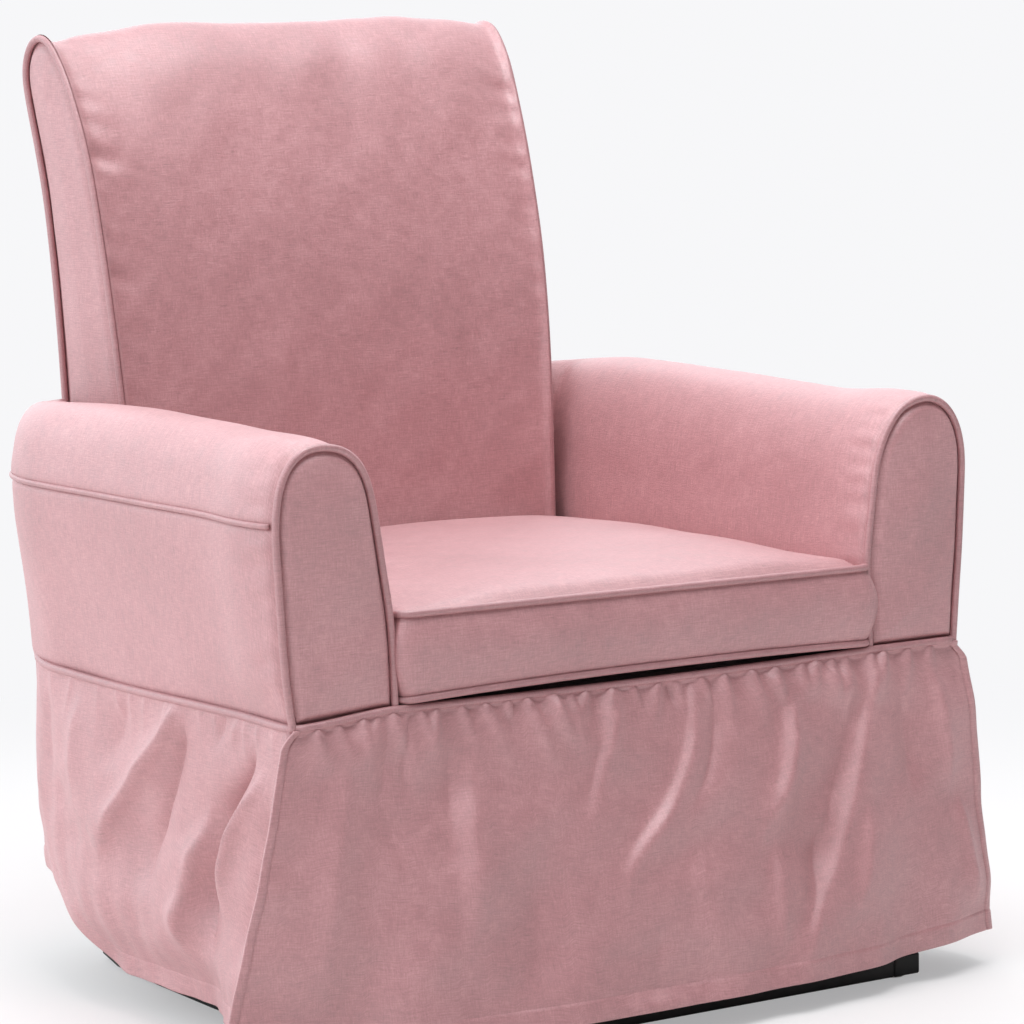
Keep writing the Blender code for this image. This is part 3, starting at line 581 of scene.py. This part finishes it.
def build_back():
    profile = relax(curve(BACK_PROFILE, 260), 6)
    shape = Shape()
    edges = np.array([1.0, 0.997, 0.992, 0.985, 0.975, 0.96])
    u = np.concatenate([-edges, np.linspace(-0.94, 0.94, 78), edges[::-1]])[None, :]
    d0, z0 = profile[:, :1], profile[:, 1:]
    edge = np.abs(u)
    x = u * back_half(z0, u)
    points = surface(x, depth(d0), z0)
    tuck = -0.0045 * ease(0.965, 1.0, edge)
    on_front = ease(0.0, 0.06, 0.650 - d0) * ease(0.36, 0.5, z0)
    full = 0.009 * on_front * (1 - edge ** 3)
    soft = 0.0016 * unevenness(x, z0, 0.10, 31) + 0.0006 * unevenness(x, z0, 0.035, 32)
    near_piping = 0.0018 * ease(0.82, 0.96, edge) * ease(0.55, 0.9, z0)
    pulls = near_piping * unevenness(x * 0.2, z0 + 0.35 * x, 0.014, 33)
    offset = tuck + full + (soft + pulls) * (1 - ease(0.985, 1.0, edge))
    points = points - normals(points) * offset[:, :, None]
    points[:, :, 2] += back_lift(u, z0)
    shape.grid(points)

    centre_z = np.clip(profile[:, 1], 0.36, 0.925)
    front_part = profile[:len(profile) // 2]
    rear_part = profile[::-1][:len(profile) * 4 // 9]
    both_d = [np.interp(centre_z, part[:, 1], part[:, 0]) for part in (front_part, rear_part)]
    centres = np.stack([sum(both_d) / 2, centre_z], 1)
    cords = Shape()
    for sign in SIDES.values():
        def boxing(share, ring):
            d, z = ring[:, 0], ring[:, 1]
            inside = 1 - share
            bulge = -0.003 + 0.006 * ease(0.0, 0.3, inside) + 0.004 * ease(0.2, 1.0, inside)
            bulge = bulge + 0.0009 * unevenness(d, z, 0.05, 35) * ease(0, 0.3, inside)
            return np.stack([sign * (back_half(z, sign) + bulge), depth(d), z + back_lift(sign, z)], 1)

        panel = filled(profile, centres, 1 - graded(14, 0.15), boxing)
        shape.grid(panel, panel[:, :, 1:], flip=sign < 0)
        z = profile[:, 1]
        edge_x = sign * (back_half(z, sign) + 0.0012)
        cords.tube(np.stack([edge_x, depth(profile[:, 0]), z + back_lift(sign, z)], 1))
    cover = shape.build("back_cover", "upholstery", "chair")
    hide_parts("back_cushion")
    cords.build("back_piping", "piping", "chair")


def build_outside_back():
    rear = relax(curve(BACK_PROFILE[BACK_REAR_START:], 130), 4)
    share = np.linspace(-1, 1, 61)[None, :]
    d, z = rear[:, :1], rear[:, 1:]
    x = share * (back_half(z, share) - 0.003)
    bulge = (0.0020 * unevenness(x, z, 0.09, 37) - 0.0045 * ease(0.95, 1.0, np.abs(share))
             - 0.0045 * (1 - ease(0.0, 0.008, run_along(rear)[:, None])) + 0.003 * (1 - share ** 4))
    points = surface(x, depth(d) + 0.0055 + bulge, z + back_lift(share, z))
    panel = Shape().grid(points).build("outside_back_cover", "upholstery", "chair")
    thicken(panel, 0.003)
    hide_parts("outside_back")


build_back()
build_outside_back()


# ---------- Seat: deck and loose cushion ----------
def rounded_rectangle(half, front, rear, radius, count):
    """Closed outline in plan, cut into even steps."""
    corners = []
    for x, y, start in ((half - radius, front + radius, -90), (half - radius, rear - radius, 0),
                        (radius - half, rear - radius, 90), (radius - half, front + radius, 180)):
        for angle in np.radians(np.linspace(start, start + 90, 10)):
            corners.append((x + radius * math.cos(angle), y + radius * math.sin(angle)))
    points = np.array(corners + corners[:1])
    run = run_along(points)
    at = np.linspace(0, run[-1], count + 1)
    return np.stack([np.interp(at, run, points[:, k]) for k in range(2)], 1)


def build_deck():
    low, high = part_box("seat_deck")
    u = np.linspace(-1, 1, 61)[None, :]
    v = np.linspace(0, 1, 55)[:, None]
    x = u * (high.x - 0.001)
    y = low.y + (high.y - low.y) * v
    sag = 0.006 * (1 - u ** 4) * np.sin(math.pi * v) + 0.0008 * unevenness(x, y, 0.05, 41)
    edge = 0.004 * ease(0.93, 1.0, np.maximum(np.abs(u), np.abs(2 * v - 1)))
    points = surface(x, y, high.z - 0.0015 - sag - edge)
    deck = Shape().grid(points).build("deck_cover", "deck_cloth", "chair")
    thicken(deck, 0.010)
    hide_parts("seat_deck")


def cushion_top_edge(x, d):
    return 0.4345 - 0.0022 * x / CUSHION_HALF - 0.001 * ease(0.3, 0.53, d)


def cushion_bottom_edge(x, d):
    front = 1 - ease(0.0, 0.12, d)
    return 0.3585 - front * 0.0045 * np.abs(x / CUSHION_HALF) ** 2.2 - (1 - front) * 0.0035


def cushion_top(share, ring):
    """Crowned top face. The share is 1 at its edge and 0 in its middle."""
    x, d = ring[..., 0], ring[..., 1]
    inside = 1 - share
    u, v = x / CUSHION_HALF, (d - 0.262) / 0.268
    crown = 0.0195 + 0.004 * swell(u, 0.55, 0.45)
    crown = crown * (1 - np.abs(u) ** 4) * (1 - 0.62 * np.abs(v) ** 2.6)
    low_corner = swell(x, 0.02 - CUSHION_HALF, 0.06) * swell(d, 0.0, 0.05)
    lift = -0.0030 + 0.0080 * ease(0.0, 0.14, inside) + crown * (1 - share ** 8)
    lift = lift + 0.0007 * unevenness(x, d, 0.075, 51) * ease(0, 0.2, inside)
    lift = lift - 0.0045 * low_corner * ease(0, 0.1, inside)
    return np.stack([x, depth(d), cushion_top_edge(x, d) + lift], -1)


def cushion_bottom(share, ring):
    x, d = ring[..., 0], ring[..., 1]
    lift = 0.0025 - 0.0045 * ease(0.0, 0.12, 1 - share)
    return np.stack([x, depth(d), cushion_bottom_edge(x, d) + lift], -1)


def build_cushion():
    outline = rounded_rectangle(CUSHION_HALF, -0.006, CUSHION_REAR, 0.014, 400)
    inner_half, inner_front, inner_rear = 0.16, 0.14, 0.40
    centres = np.stack([np.clip(outline[:, 0], -inner_half, inner_half),
                        np.clip(outline[:, 1], inner_front, inner_rear)], 1)
    middle = np.stack(np.meshgrid(np.linspace(-inner_half, inner_half, 60),
                                  np.linspace(inner_front, inner_rear, 12)), 2)
    shape = Shape()
    for face, flip in ((cushion_top, False), (cushion_bottom, True)):
        for points in (filled(outline, centres, 1 - graded(26, 0.07), face), face(0, middle)):
            shape.grid(points, points[:, :, :2], flip=flip)

    band_v = np.concatenate([[0, 0.02, 0.05, 0.09], np.linspace(0.14, 0.86, 14), [0.91, 0.95, 0.98, 1.0]])
    x, d = outline[:, 0], outline[:, 1]
    ahead = np.roll(outline[:-1], -1, 0) - np.roll(outline[:-1], 1, 0)
    out = np.stack([ahead[:, 1], -ahead[:, 0]], 1)
    out = np.vstack([out, out[:1]])
    out /= np.linalg.norm(out, axis=1, keepdims=True)
    front = 1 - ease(-0.002, 0.010, d)
    rows = []
    for v in band_v:
        z = cushion_top_edge(x, d) * (1 - v) + cushion_bottom_edge(x, d) * v
        arch = math.sin(math.pi * v)
        lumps = 0.0009 * unevenness(x, z, 0.05, 54) + 0.0005 * unevenness(x * 2.5, z, 0.03, 55)
        bulge = (0.0015 + 0.0075 * front) * arch ** 0.6 - 0.003 * (1 - arch ** 0.5) + front * lumps * arch
        wide = 0.005 * front * out[:, 0] * arch
        rows.append(np.stack([x + out[:, 0] * bulge + wide, depth(d + out[:, 1] * bulge), z], 1))
    run = run_along(outline)
    uv = np.stack(np.broadcast_arrays(run[None, :], 0.08 * band_v[:, None]), 2)
    shape.grid(np.array(rows), uv, flip=True)
    cushion = shape.build("cushion_cover", "upholstery", "cushion")
    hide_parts("seat_cushion")

    cords = Shape()
    for level in (cushion_top_edge, cushion_bottom_edge):
        path = np.stack([x + out[:, 0] * 0.001, depth(d + out[:, 1] * 0.001), level(x, d)], 1)[:-1]
        cords.tube(path, 0.0036, closed=True)
    cords.build("cushion_piping", "piping", "cushion")


build_deck()
build_cushion()


# ---------- Seam piping between the upholstery and the skirt ----------
def seam_height(x, d):
    """The seam dips a little along the front rail and hangs lower on the left."""
    front = 1 - ease(0.0, 0.01, d)
    dip = front * 0.0028 * (1 - np.clip(np.abs(x) / 0.29, 0, 1) ** 2)
    return SEAM_Z + 0.0005 - dip - seam_drop(x, d)


def build_seam_piping():
    """One closed cord: the right half of its plan from front to rear, and the left half back again."""
    half = SEAM_HALF + 0.0008
    front = [(0.0, -0.0038), (0.20, -0.0038), (0.37, -0.0038), (0.388, -0.0033), (0.3973, 0.004)]
    side = [(float(plan_half_width(d, half)), d) for d in np.linspace(0.02, 0.66, 40)]
    rear = [(0.262, 0.6848), (0.235, 0.6918), (0.16, 0.6938), (0.0, 0.6948)]
    right = front + side + rear
    left = [(-x - float(left_lean(d) * ease(0.26, 0.33, x)), d) for x, d in right[-2:0:-1]]
    plan = curve(right + left, 900, closed=True)[:-1]
    path = np.stack([plan[:, 0], depth(plan[:, 1]), seam_height(plan[:, 0], plan[:, 1])], 1)
    Shape().tube(path, 0.0040, closed=True).build("skirt_seam_piping", "piping", "chair")


build_seam_piping()


# ---------- Skirt ----------
def crease(across, height, path, width, rise, lean, ends):
    """One crease of the cloth, a ridge or a valley, along (across, height) points from top to bottom."""
    path = curve(path, 40)
    line = np.interp(-height, -path[:, 1], path[:, 0])
    share = (path[0, 1] - height) / (path[0, 1] - path[-1, 1])
    opened = ease(0, 0.45, share)
    envelope = ease(0, ends[0], share) * ease(0, ends[1], 1 - share) * (0.40 + 0.60 * opened)
    offset = (across - line) / (width * (0.35 + 0.65 * opened + 0.3 * ease(0.6, 1.0, share)))
    side = np.where(offset < 0, 1 + lean, 1 - lean)
    return rise * envelope * np.exp(0.17 - np.sqrt((offset * side) ** 2 + 0.03))


FRONT_STRENGTH = 1.9

# Each crease: its line from top to bottom, width, rise, lean, and the shares over which its ends fade.
# A front crease is placed by x and height, a side crease by distance behind the corner and height.
FRONT_CREASES = [
    ([(-0.158, 0.344), (-0.162, 0.322), (-0.165, 0.3)], 0.006, -0.003, 0, (0.1, 0.6)),
    ([(-0.12, 0.345), (-0.108, 0.318), (-0.09, 0.28)], 0.009, 0.004, 0.3, (0.1, 0.6)),
    ([(-0.034, 0.344), (-0.05, 0.3), (-0.082, 0.235), (-0.1, 0.19)], 0.013, 0.005, 0.65, (0.1, 0.6)),
    ([(-0.014, 0.344), (-0.008, 0.325), (-0.004, 0.3)], 0.007, -0.003, 0, (0.1, 0.6)),
    ([(0.026, 0.344), (0.03, 0.325), (0.033, 0.305)], 0.007, -0.0028, 0, (0.1, 0.6)),
    ([(0.057, 0.344), (0.04, 0.275), (0.005, 0.222), (-0.047, 0.172), (-0.07, 0.12)],
     0.013, 0.0056, 0.78, (0.1, 0.4)),
    ([(0.08, 0.344), (0.074, 0.29), (0.045, 0.235), (0, 0.19)], 0.014, -0.005, 0, (0.1, 0.5)),
    ([(0.14, 0.344), (0.166, 0.302), (0.154, 0.24), (0.113, 0.172), (0.1, 0.14)],
     0.013, 0.0052, 0.75, (0.1, 0.5)),
    ([(0.135, 0.19), (0.129, 0.125), (0.122, 0.05)], 0.013, 0.0048, 0.72, (0.4, 0.4)),
    ([(0.212, 0.344), (0.226, 0.32), (0.236, 0.29)], 0.01, 0.004, 0, (0.1, 0.6)),
    ([(0.245, 0.34), (0.246, 0.31), (0.238, 0.27)], 0.009, 0.0035, 0, (0.2, 0.6)),
    ([(-0.198, 0.33), (-0.219, 0.264), (-0.226, 0.2), (-0.236, 0.115), (-0.24, 0.06)],
     0.03, 0.008, 0.4, (0.4, 0.5)),
    ([(-0.278, 0.344), (-0.284, 0.31), (-0.292, 0.25)], 0.008, -0.0045, 0, (0.1, 0.6)),
    ([(-0.3, 0.34), (-0.306, 0.3), (-0.32, 0.24)], 0.01, -0.0035, 0, (0.2, 0.6)),
    ([(0.293, 0.344), (0.254, 0.249), (0.21, 0.157), (0.16, 0.07), (0.145, 0.03)],
     0.013, 0.0066, 0.84, (0.14, 0.25)),
    ([(0.272, 0.33), (0.23, 0.24), (0.186, 0.15), (0.143, 0.08)], 0.009, -0.0016, -0.3, (0.2, 0.4)),
    ([(0.318, 0.344), (0.322, 0.26), (0.318, 0.16)], 0.022, -0.005, 0, (0.2, 0.5)),
    ([(-0.345, 0.33), (-0.36, 0.25), (-0.385, 0.15), (-0.395, 0.06)], 0.03, 0.006, 0, (0.3, 0.3)),
    ([(-0.15, 0.23), (-0.16, 0.15), (-0.165, 0.06)], 0.03, -0.005, 0, (0.4, 0.3)),
    ([(0.02, 0.2), (0.035, 0.13), (0.04, 0.05)], 0.04, 0.006, 0, (0.4, 0.3)),
    ([(-0.02, 0.12), (-0.03, 0.08), (-0.035, 0.035)], 0.03, -0.004, 0, (0.4, 0.2)),
    ([(0.352, 0.336), (0.366, 0.29), (0.372, 0.24), (0.376, 0.17)], 0.013, 0.0055, 0.6, (0.2, 0.4)),
    ([(0.385, 0.2), (0.392, 0.14), (0.4, 0.06)], 0.014, 0.005, 0, (0.3, 0.3)),
    ([(0.176, 0.33), (0.17, 0.29), (0.158, 0.245), (0.134, 0.19), (0.126, 0.15)],
     0.009, 0.003, 0.5, (0.2, 0.5)),
    ([(0.196, 0.2), (0.184, 0.15), (0.178, 0.1), (0.18, 0.06)], 0.016, -0.004, 0, (0.4, 0.4)),
    ([(0.252, 0.21), (0.238, 0.14), (0.214, 0.075)], 0.014, 0.0045, 0.6, (0.4, 0.4)),
    ([(-0.062, 0.3), (-0.074, 0.262), (-0.086, 0.22)], 0.01, -0.003, 0, (0.3, 0.5)),
    ([(-0.236, 0.32), (-0.24, 0.25), (-0.25, 0.18)], 0.018, -0.004, 0, (0.2, 0.5)),
]

SIDE_CREASES = [
    ([(0.226, 0.34), (0.24, 0.308), (0.296, 0.256), (0.36, 0.198), (0.398, 0.14)],
     0.022, 0.011, 0.3, (0.1, 0.4)),
    ([(0.212, 0.33), (0.222, 0.299), (0.25, 0.25), (0.276, 0.2), (0.31, 0.13)],
     0.017, -0.011, 0, (0.2, 0.4)),
    ([(0.16, 0.262), (0.178, 0.215), (0.2, 0.16), (0.222, 0.08)], 0.02, 0.012, 0.2, (0.4, 0.3)),
    ([(0.062, 0.32), (0.085, 0.285), (0.136, 0.242), (0.157, 0.195), (0.176, 0.146), (0.16, 0.08)],
     0.017, -0.015, 0.2, (0.15, 0.3)),
    ([(0.046, 0.3), (0.06, 0.27), (0.094, 0.232), (0.122, 0.18), (0.13, 0.13)], 0.014, 0.01, 0, (0.2, 0.4)),
    ([(0.03, 0.3), (0.045, 0.23), (0.07, 0.15), (0.09, 0.08)], 0.018, -0.006, 0, (0.3, 0.3)),
    ([(0.33, 0.335), (0.35, 0.29), (0.372, 0.24)], 0.026, -0.005, 0, (0.3, 0.5)),
    ([(0.43, 0.335), (0.445, 0.26), (0.45, 0.16)], 0.034, 0.006, 0, (0.3, 0.5)),
    ([(0.52, 0.335), (0.52, 0.24), (0.51, 0.14)], 0.034, -0.005, 0, (0.3, 0.5)),
    ([(0.13, 0.34), (0.14, 0.32), (0.155, 0.29)], 0.014, -0.003, 0, (0.2, 0.6)),
    ([(0.1, 0.34), (0.108, 0.325), (0.12, 0.3)], 0.012, 0.003, 0, (0.2, 0.6)),
]


def gathers(across, below, seed, start, stop, spacing, rise):
    """Irregular V-shaped puckers that hang from the seam and widen as they fade."""
    random = np.random.default_rng(seed)
    total = np.zeros(np.broadcast(across, below).shape)
    place = start
    while place < stop:
        length, lean = random.uniform(0.035, 0.090), random.uniform(-0.35, 0.35)
        width = random.uniform(0.16, 0.30)
        fade = ease(0.0, 0.007, below) * (1 - ease(0.15 * length, length, below))
        offset = (across - place - lean * below) / (0.0030 + width * np.clip(below, 0.0, 0.04))
        total += random.uniform(0.5, 1.0) * fade * np.exp(0.14 - np.sqrt(offset ** 2 + 0.02))
        place += spacing * random.uniform(0.55, 1.45)
    return rise * (total - 0.35 * ease(0.0, 0.007, below) * (1 - ease(0.0, 0.07, below)))


def hem_finish(from_hem):
    """A turned hem, with the groove of its stitching."""
    return 0.0007 * (1 - ease(0.018, 0.021, from_hem)) - 0.0004 * swell(from_hem, 0.0215, 0.0018)


def edge_finish(from_edge):
    """The same down an upright edge."""
    return 0.0012 * (1 - ease(0.006, 0.008, from_edge)) - 0.0008 * swell(from_edge, 0.0085, 0.0014)


SKIRT_ROWS = np.unique(np.concatenate([np.linspace(0, 0.05, 12), np.linspace(0.05, 0.90, 70),
                                       np.linspace(0.90, 1.0, 26)]))


def sew_panel(side, points, flip=False):
    """A panel of gathered cloth that hangs from the seam's piping."""
    panel = Shape().grid(points, flip=flip).build(f"skirt_{side}_panel", "upholstery", "chair")
    thicken(panel, SKIRT_CLOTH)
    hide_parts(f"skirt_{side}")


def build_front_skirt():
    """The panel flares towards the hem, more on the left, and bows forward in its middle."""
    edge = np.linspace(0, 0.03, 9)
    u = np.concatenate([edge - 1, np.linspace(-0.965, 0.965, 330), 1 - edge[::-1]])[None, :]
    v = SKIRT_ROWS[:, None]
    flare_left = 0.008 * ease(0, 0.06, v) + 0.0865 * v
    flare_right = 0.012 * ease(0, 0.07, v) + 0.030 * v * (1 - 0.5 * v)
    right = ease(-1, 1, u)
    x_top = u * SEAM_HALF - 0.006 * ease(0.6, 1.0, -u)
    x = x_top + u * (flare_left * (1 - right) + flare_right * right)
    top_z = seam_height(x_top, -0.003) - 0.001
    hem = 0.030 + 0.008 * ease(0.5, 1.0, u)
    z = top_z + (hem - top_z) * v
    forward = 0.0030 + v * (0.012 + 0.060 * (1 - np.abs(u) ** 2.2))
    points = surface(x, depth(-forward), z)
    out = normals(points)
    out = out * np.sign(-out[:, :, 1:2])
    below = top_z - z
    offset = gathers(x, below, 61, -0.38, 0.38, 0.024, 0.0105)
    for row in FRONT_CREASES:
        offset += FRONT_STRENGTH * crease(x, z, *row)
    lumps = 0.0030 * unevenness(x, z * 0.45, 0.075, 62) + 0.0010 * unevenness(x, z, 0.030, 63)
    offset += ease(0.02, 0.12, below) * lumps
    offset += ease(0.25, 0.0, z) * 0.0040 * unevenness(x, z * 0.2, 0.055, 64)
    offset += hem_finish(z - hem) + edge_finish((1 - np.abs(u)) * 0.42)
    sew_panel("front", points + out * offset[:, :, None])


def side_hem(d):
    """Height of the side panels' hem, which rises towards the rear."""
    return 0.037 + 0.073 * ease(0.355, 0.560, d) + 0.004 * ease(0.560, 0.66, d)


def rear_fullness(v):
    """The skirt stands out a little below the seam."""
    return 0.0085 * np.sin(math.pi * np.clip(v * 0.85, 0, 1))


def build_side_skirt(side, sign):
    """The panel starts in a strip turned in behind the front panel, and goes round the rear corner."""
    if side == "left":
        forward, lap, seed = 0.018, 0.014, 71
        strength, stretch, shift = 1.8, 1.0, 0.0
    else:
        forward, lap, seed = 0.011, 0.010, 81
        strength, stretch, shift = 1.2, 1.08, 0.02
    v = SKIRT_ROWS[:, None]
    lead = 0.026
    straight = CHAIR_DEPTH - CORNER_RADIUS
    total = lead + straight + CORNER_RADIUS * math.radians(63)
    edge = np.linspace(0, 0.010, 6)
    s = np.concatenate([edge, np.linspace(0.013, total - 0.012, 310), total - edge[::-1]])[None, :]
    along = s - lead
    radius = CORNER_RADIUS + CORNER_GROWTH * v
    half = PANEL_HALF + 0.030 * v * (1 - ease(0.02, 0.26, along))
    half = half + rear_fullness(v) * ease(0.15, 0.45, along)
    if side == "left":
        half = half + left_lean(along)
    start = CHAIR_DEPTH - radius
    angle = np.clip((along - straight) / radius * (radius / CORNER_RADIUS) ** 0.5, 0, None)
    returned = np.clip(-along, 0, None)
    x = half - radius * (1 - np.cos(angle)) - returned * 0.97
    d = np.where(along <= straight, along * start / straight, start + radius * np.sin(angle))
    down = v ** 0.6
    turned_in = (0.004 * (1 - down) - lap * down) * ease(0, lead, returned)
    d = np.where(along < 0, 0.004 + turned_in, np.maximum(d, 0.004))
    d = d - forward * down * (1 - ease(0.0, 0.07, along))
    hem = side_hem(d)
    top_z = seam_height(sign * x, np.maximum(d, 0.01)) - 0.001
    z = top_z + (hem - top_z) * v
    points = surface(x, depth(d), z)
    out = normals(points)
    out[:, :, :2] *= np.sign(out[:, :, :1] + 1e-9)
    below = top_z - z
    offset = gathers(along, below, seed, 0.03, total - 0.06, 0.045, 0.0026)
    for path, *form in SIDE_CREASES:
        path = [(at * stretch + shift, height) for at, height in path]
        offset += strength * crease(along, z, path, *form)
    lumps = (0.0026 * unevenness(along, z * 0.45, 0.070, seed + 1)
             + 0.0009 * unevenness(along, z, 0.028, seed + 2))
    offset += ease(0.02, 0.12, below) * lumps
    offset += ease(0.22, 0.06, z) * 0.0025 * unevenness(along, z * 0.2, 0.060, seed + 3)
    offset += 0.007 * swell(z, 0.120, 0.035) * ease(0.10, 0.2, along) * (1 - ease(0.42, 0.52, along))
    offset -= 0.014 * ease(0.094, 0.050, z) * ease(0.06, 0.2, along) * (1 - ease(0.40, 0.5, along))
    offset = (offset * ease(-0.004, 0.030, along) + hem_finish(z - hem)) * (along > 0)
    points = points + out * offset[:, :, None]
    points[:, :, 0] *= sign
    sew_panel(side, points, flip=sign < 0)


def build_rear_skirt():
    """The panel's ends tuck in behind the side panels, part of the way round the corners."""
    turn_end = math.radians(60)
    u = np.linspace(-1, 1, 170)[None, :]
    v = SKIRT_ROWS[:, None]
    radius = CORNER_RADIUS + CORNER_GROWTH * v
    edge_x = PANEL_HALF + rear_fullness(v) - radius * (1 - math.cos(turn_end))
    edge_d = CHAIR_DEPTH - radius * (1 - math.sin(turn_end))
    bow = np.abs(u) ** 3
    x = u * edge_x
    d = edge_d + (CHAIR_DEPTH - edge_d) * (1 - bow) + 0.0015
    hem = 0.100 + 0.014 * bow
    z = SKIRT_TOP + (hem - SKIRT_TOP) * v
    below = SKIRT_TOP - z
    offset = gathers(x, below, 91, -0.26, 0.26, 0.040, 0.0030)
    offset += ease(0.02, 0.12, below) * 0.0032 * unevenness(x, z * 0.35, 0.080, 92)
    offset += ease(0.25, 0.05, z) * 0.0030 * unevenness(x, z * 0.2, 0.055, 93) + hem_finish(z - hem)
    sew_panel("rear", surface(x, depth(d) + offset, z), flip=True)


build_front_skirt()
for side_name, side_sign in SIDES.items():
    build_side_skirt(side_name, side_sign)
build_rear_skirt()


# ---------- Studio: floor, light and camera ----------
COOL_LIGHT = (0.93, 1.0, 1.04)
LIGHT_TARGET = Vector((0, 0, 0.4))
SOFTBOXES = {       # name: place, length of a side, power in watts, colour
    "key_left": ((-3.4, -0.6, 2.0), 1.4, 24, COOL_LIGHT),
    "rear_left": ((-2.6, 2.6, 1.7), 1.2, 14, COOL_LIGHT),
    "overhead": ((0.0, -0.65, 3.0), 1.6, 58, (0.98, 1.0, 1.02)),
}


def build_floor():
    rings = np.array([0, 0.3, 0.6, 1.0, 1.6, 2.4, 4.0, 8.0, 20.0, 60.0])[:, None]
    angle = np.linspace(0, 2 * math.pi, 65)[None, :]
    disc = surface(rings * np.cos(angle), rings * np.sin(angle), 0.0)
    mesh = bpy.data.meshes.new("studio_floor")
    rows, columns = disc.shape[:2]
    faces = [(r * columns + c, (r + 1) * columns + c, (r + 1) * columns + c + 1, r * columns + c + 1)
             for r in range(rows - 1) for c in range(columns - 1)]
    mesh.from_pydata(disc.reshape(-1, 3).tolist(), [], faces)
    mesh.materials.append(floor_material())
    floor = bpy.data.objects.new("studio_floor", mesh)
    bpy.context.scene.collection.objects.link(floor)


def build_surroundings():
    """The camera sees plain white. The object is lit by two broad glows."""
    world = bpy.data.worlds.new("studio")
    bpy.context.scene.world = world
    world.use_nodes = True
    tree = world.node_tree
    background = tree.nodes["Background"]
    seen = tree.nodes.new("ShaderNodeBackground")
    seen.inputs["Color"].default_value = STUDIO_WHITE
    background.inputs["Color"].default_value = (*COOL_LIGHT, 1.0)
    direction = tree.nodes.new("ShaderNodeTexCoord")

    def glow(aim, start, dark, bright):
        """Strength that grows from dark to bright towards a direction."""
        toward = tree.nodes.new("ShaderNodeVectorMath")
        toward.operation = "DOT_PRODUCT"
        toward.inputs[1].default_value = Vector(aim).normalized()
        strength = tree.nodes.new("ShaderNodeMapRange")
        for key, value in (("From Min", start), ("From Max", 0.95), ("To Min", dark), ("To Max", bright)):
            strength.inputs[key].default_value = value
        tree.links.new(direction.outputs["Generated"], toward.inputs[0])
        tree.links.new(toward.outputs["Value"], strength.inputs["Value"])
        return strength.outputs["Result"]

    total = tree.nodes.new("ShaderNodeMath")
    tree.links.new(glow((-0.57, 0.62, 0.53), -0.2, 0.09, 1.42), total.inputs[0])
    tree.links.new(glow((0.55, 0.80, 0.25), 0.45, 0.0, 1.50), total.inputs[1])
    tree.links.new(total.outputs[0], background.inputs["Strength"])
    rays = tree.nodes.new("ShaderNodeLightPath")
    mix = tree.nodes.new("ShaderNodeMixShader")
    tree.links.new(rays.outputs["Is Camera Ray"], mix.inputs[0])
    tree.links.new(background.outputs[0], mix.inputs[1])
    tree.links.new(seen.outputs[0], mix.inputs[2])
    tree.links.new(mix.outputs[0], tree.nodes["World Output"].inputs["Surface"])


def add_softbox(name, place, side, power, colour):
    light = bpy.data.lights.new(name, "AREA")
    light.shape = "RECTANGLE"
    light.size = light.size_y = side
    light.energy = power
    light.color = colour
    made = bpy.data.objects.new(name, light)
    made.location = place
    made.rotation_euler = (LIGHT_TARGET - Vector(place)).to_track_quat("-Z", "Y").to_euler()
    bpy.context.scene.collection.objects.link(made)


def add_camera():
    yaw, pitch, roll = math.radians(33.76), math.radians(6.97), math.radians(-0.95)
    forward = Vector((math.sin(yaw) * math.cos(pitch), math.cos(yaw) * math.cos(pitch), -math.sin(pitch)))
    right = forward.cross(Vector((0, 0, 1))).normalized()
    up = right.cross(forward)
    right, up = math.cos(roll) * right + math.sin(roll) * up, math.cos(roll) * up - math.sin(roll) * right
    data = bpy.data.cameras.new("camera")
    data.lens = 140.63
    data.sensor_width = 36.0
    data.shift_x, data.shift_y = -0.0004, 0.0104
    data.clip_end = 200.0
    camera = bpy.data.objects.new("camera", data)
    turn = Matrix((right, up, -forward)).transposed()
    camera.matrix_world = Matrix.Translation((-2.2729, -3.5047, 0.9797)) @ turn.to_4x4()
    bpy.context.scene.collection.objects.link(camera)
    bpy.context.scene.camera = camera


build_floor()
build_surroundings()
for softbox, settings in SOFTBOXES.items():
    add_softbox(softbox, *settings)
add_camera()
bpy.context.scene.view_settings.view_transform = "Standard"
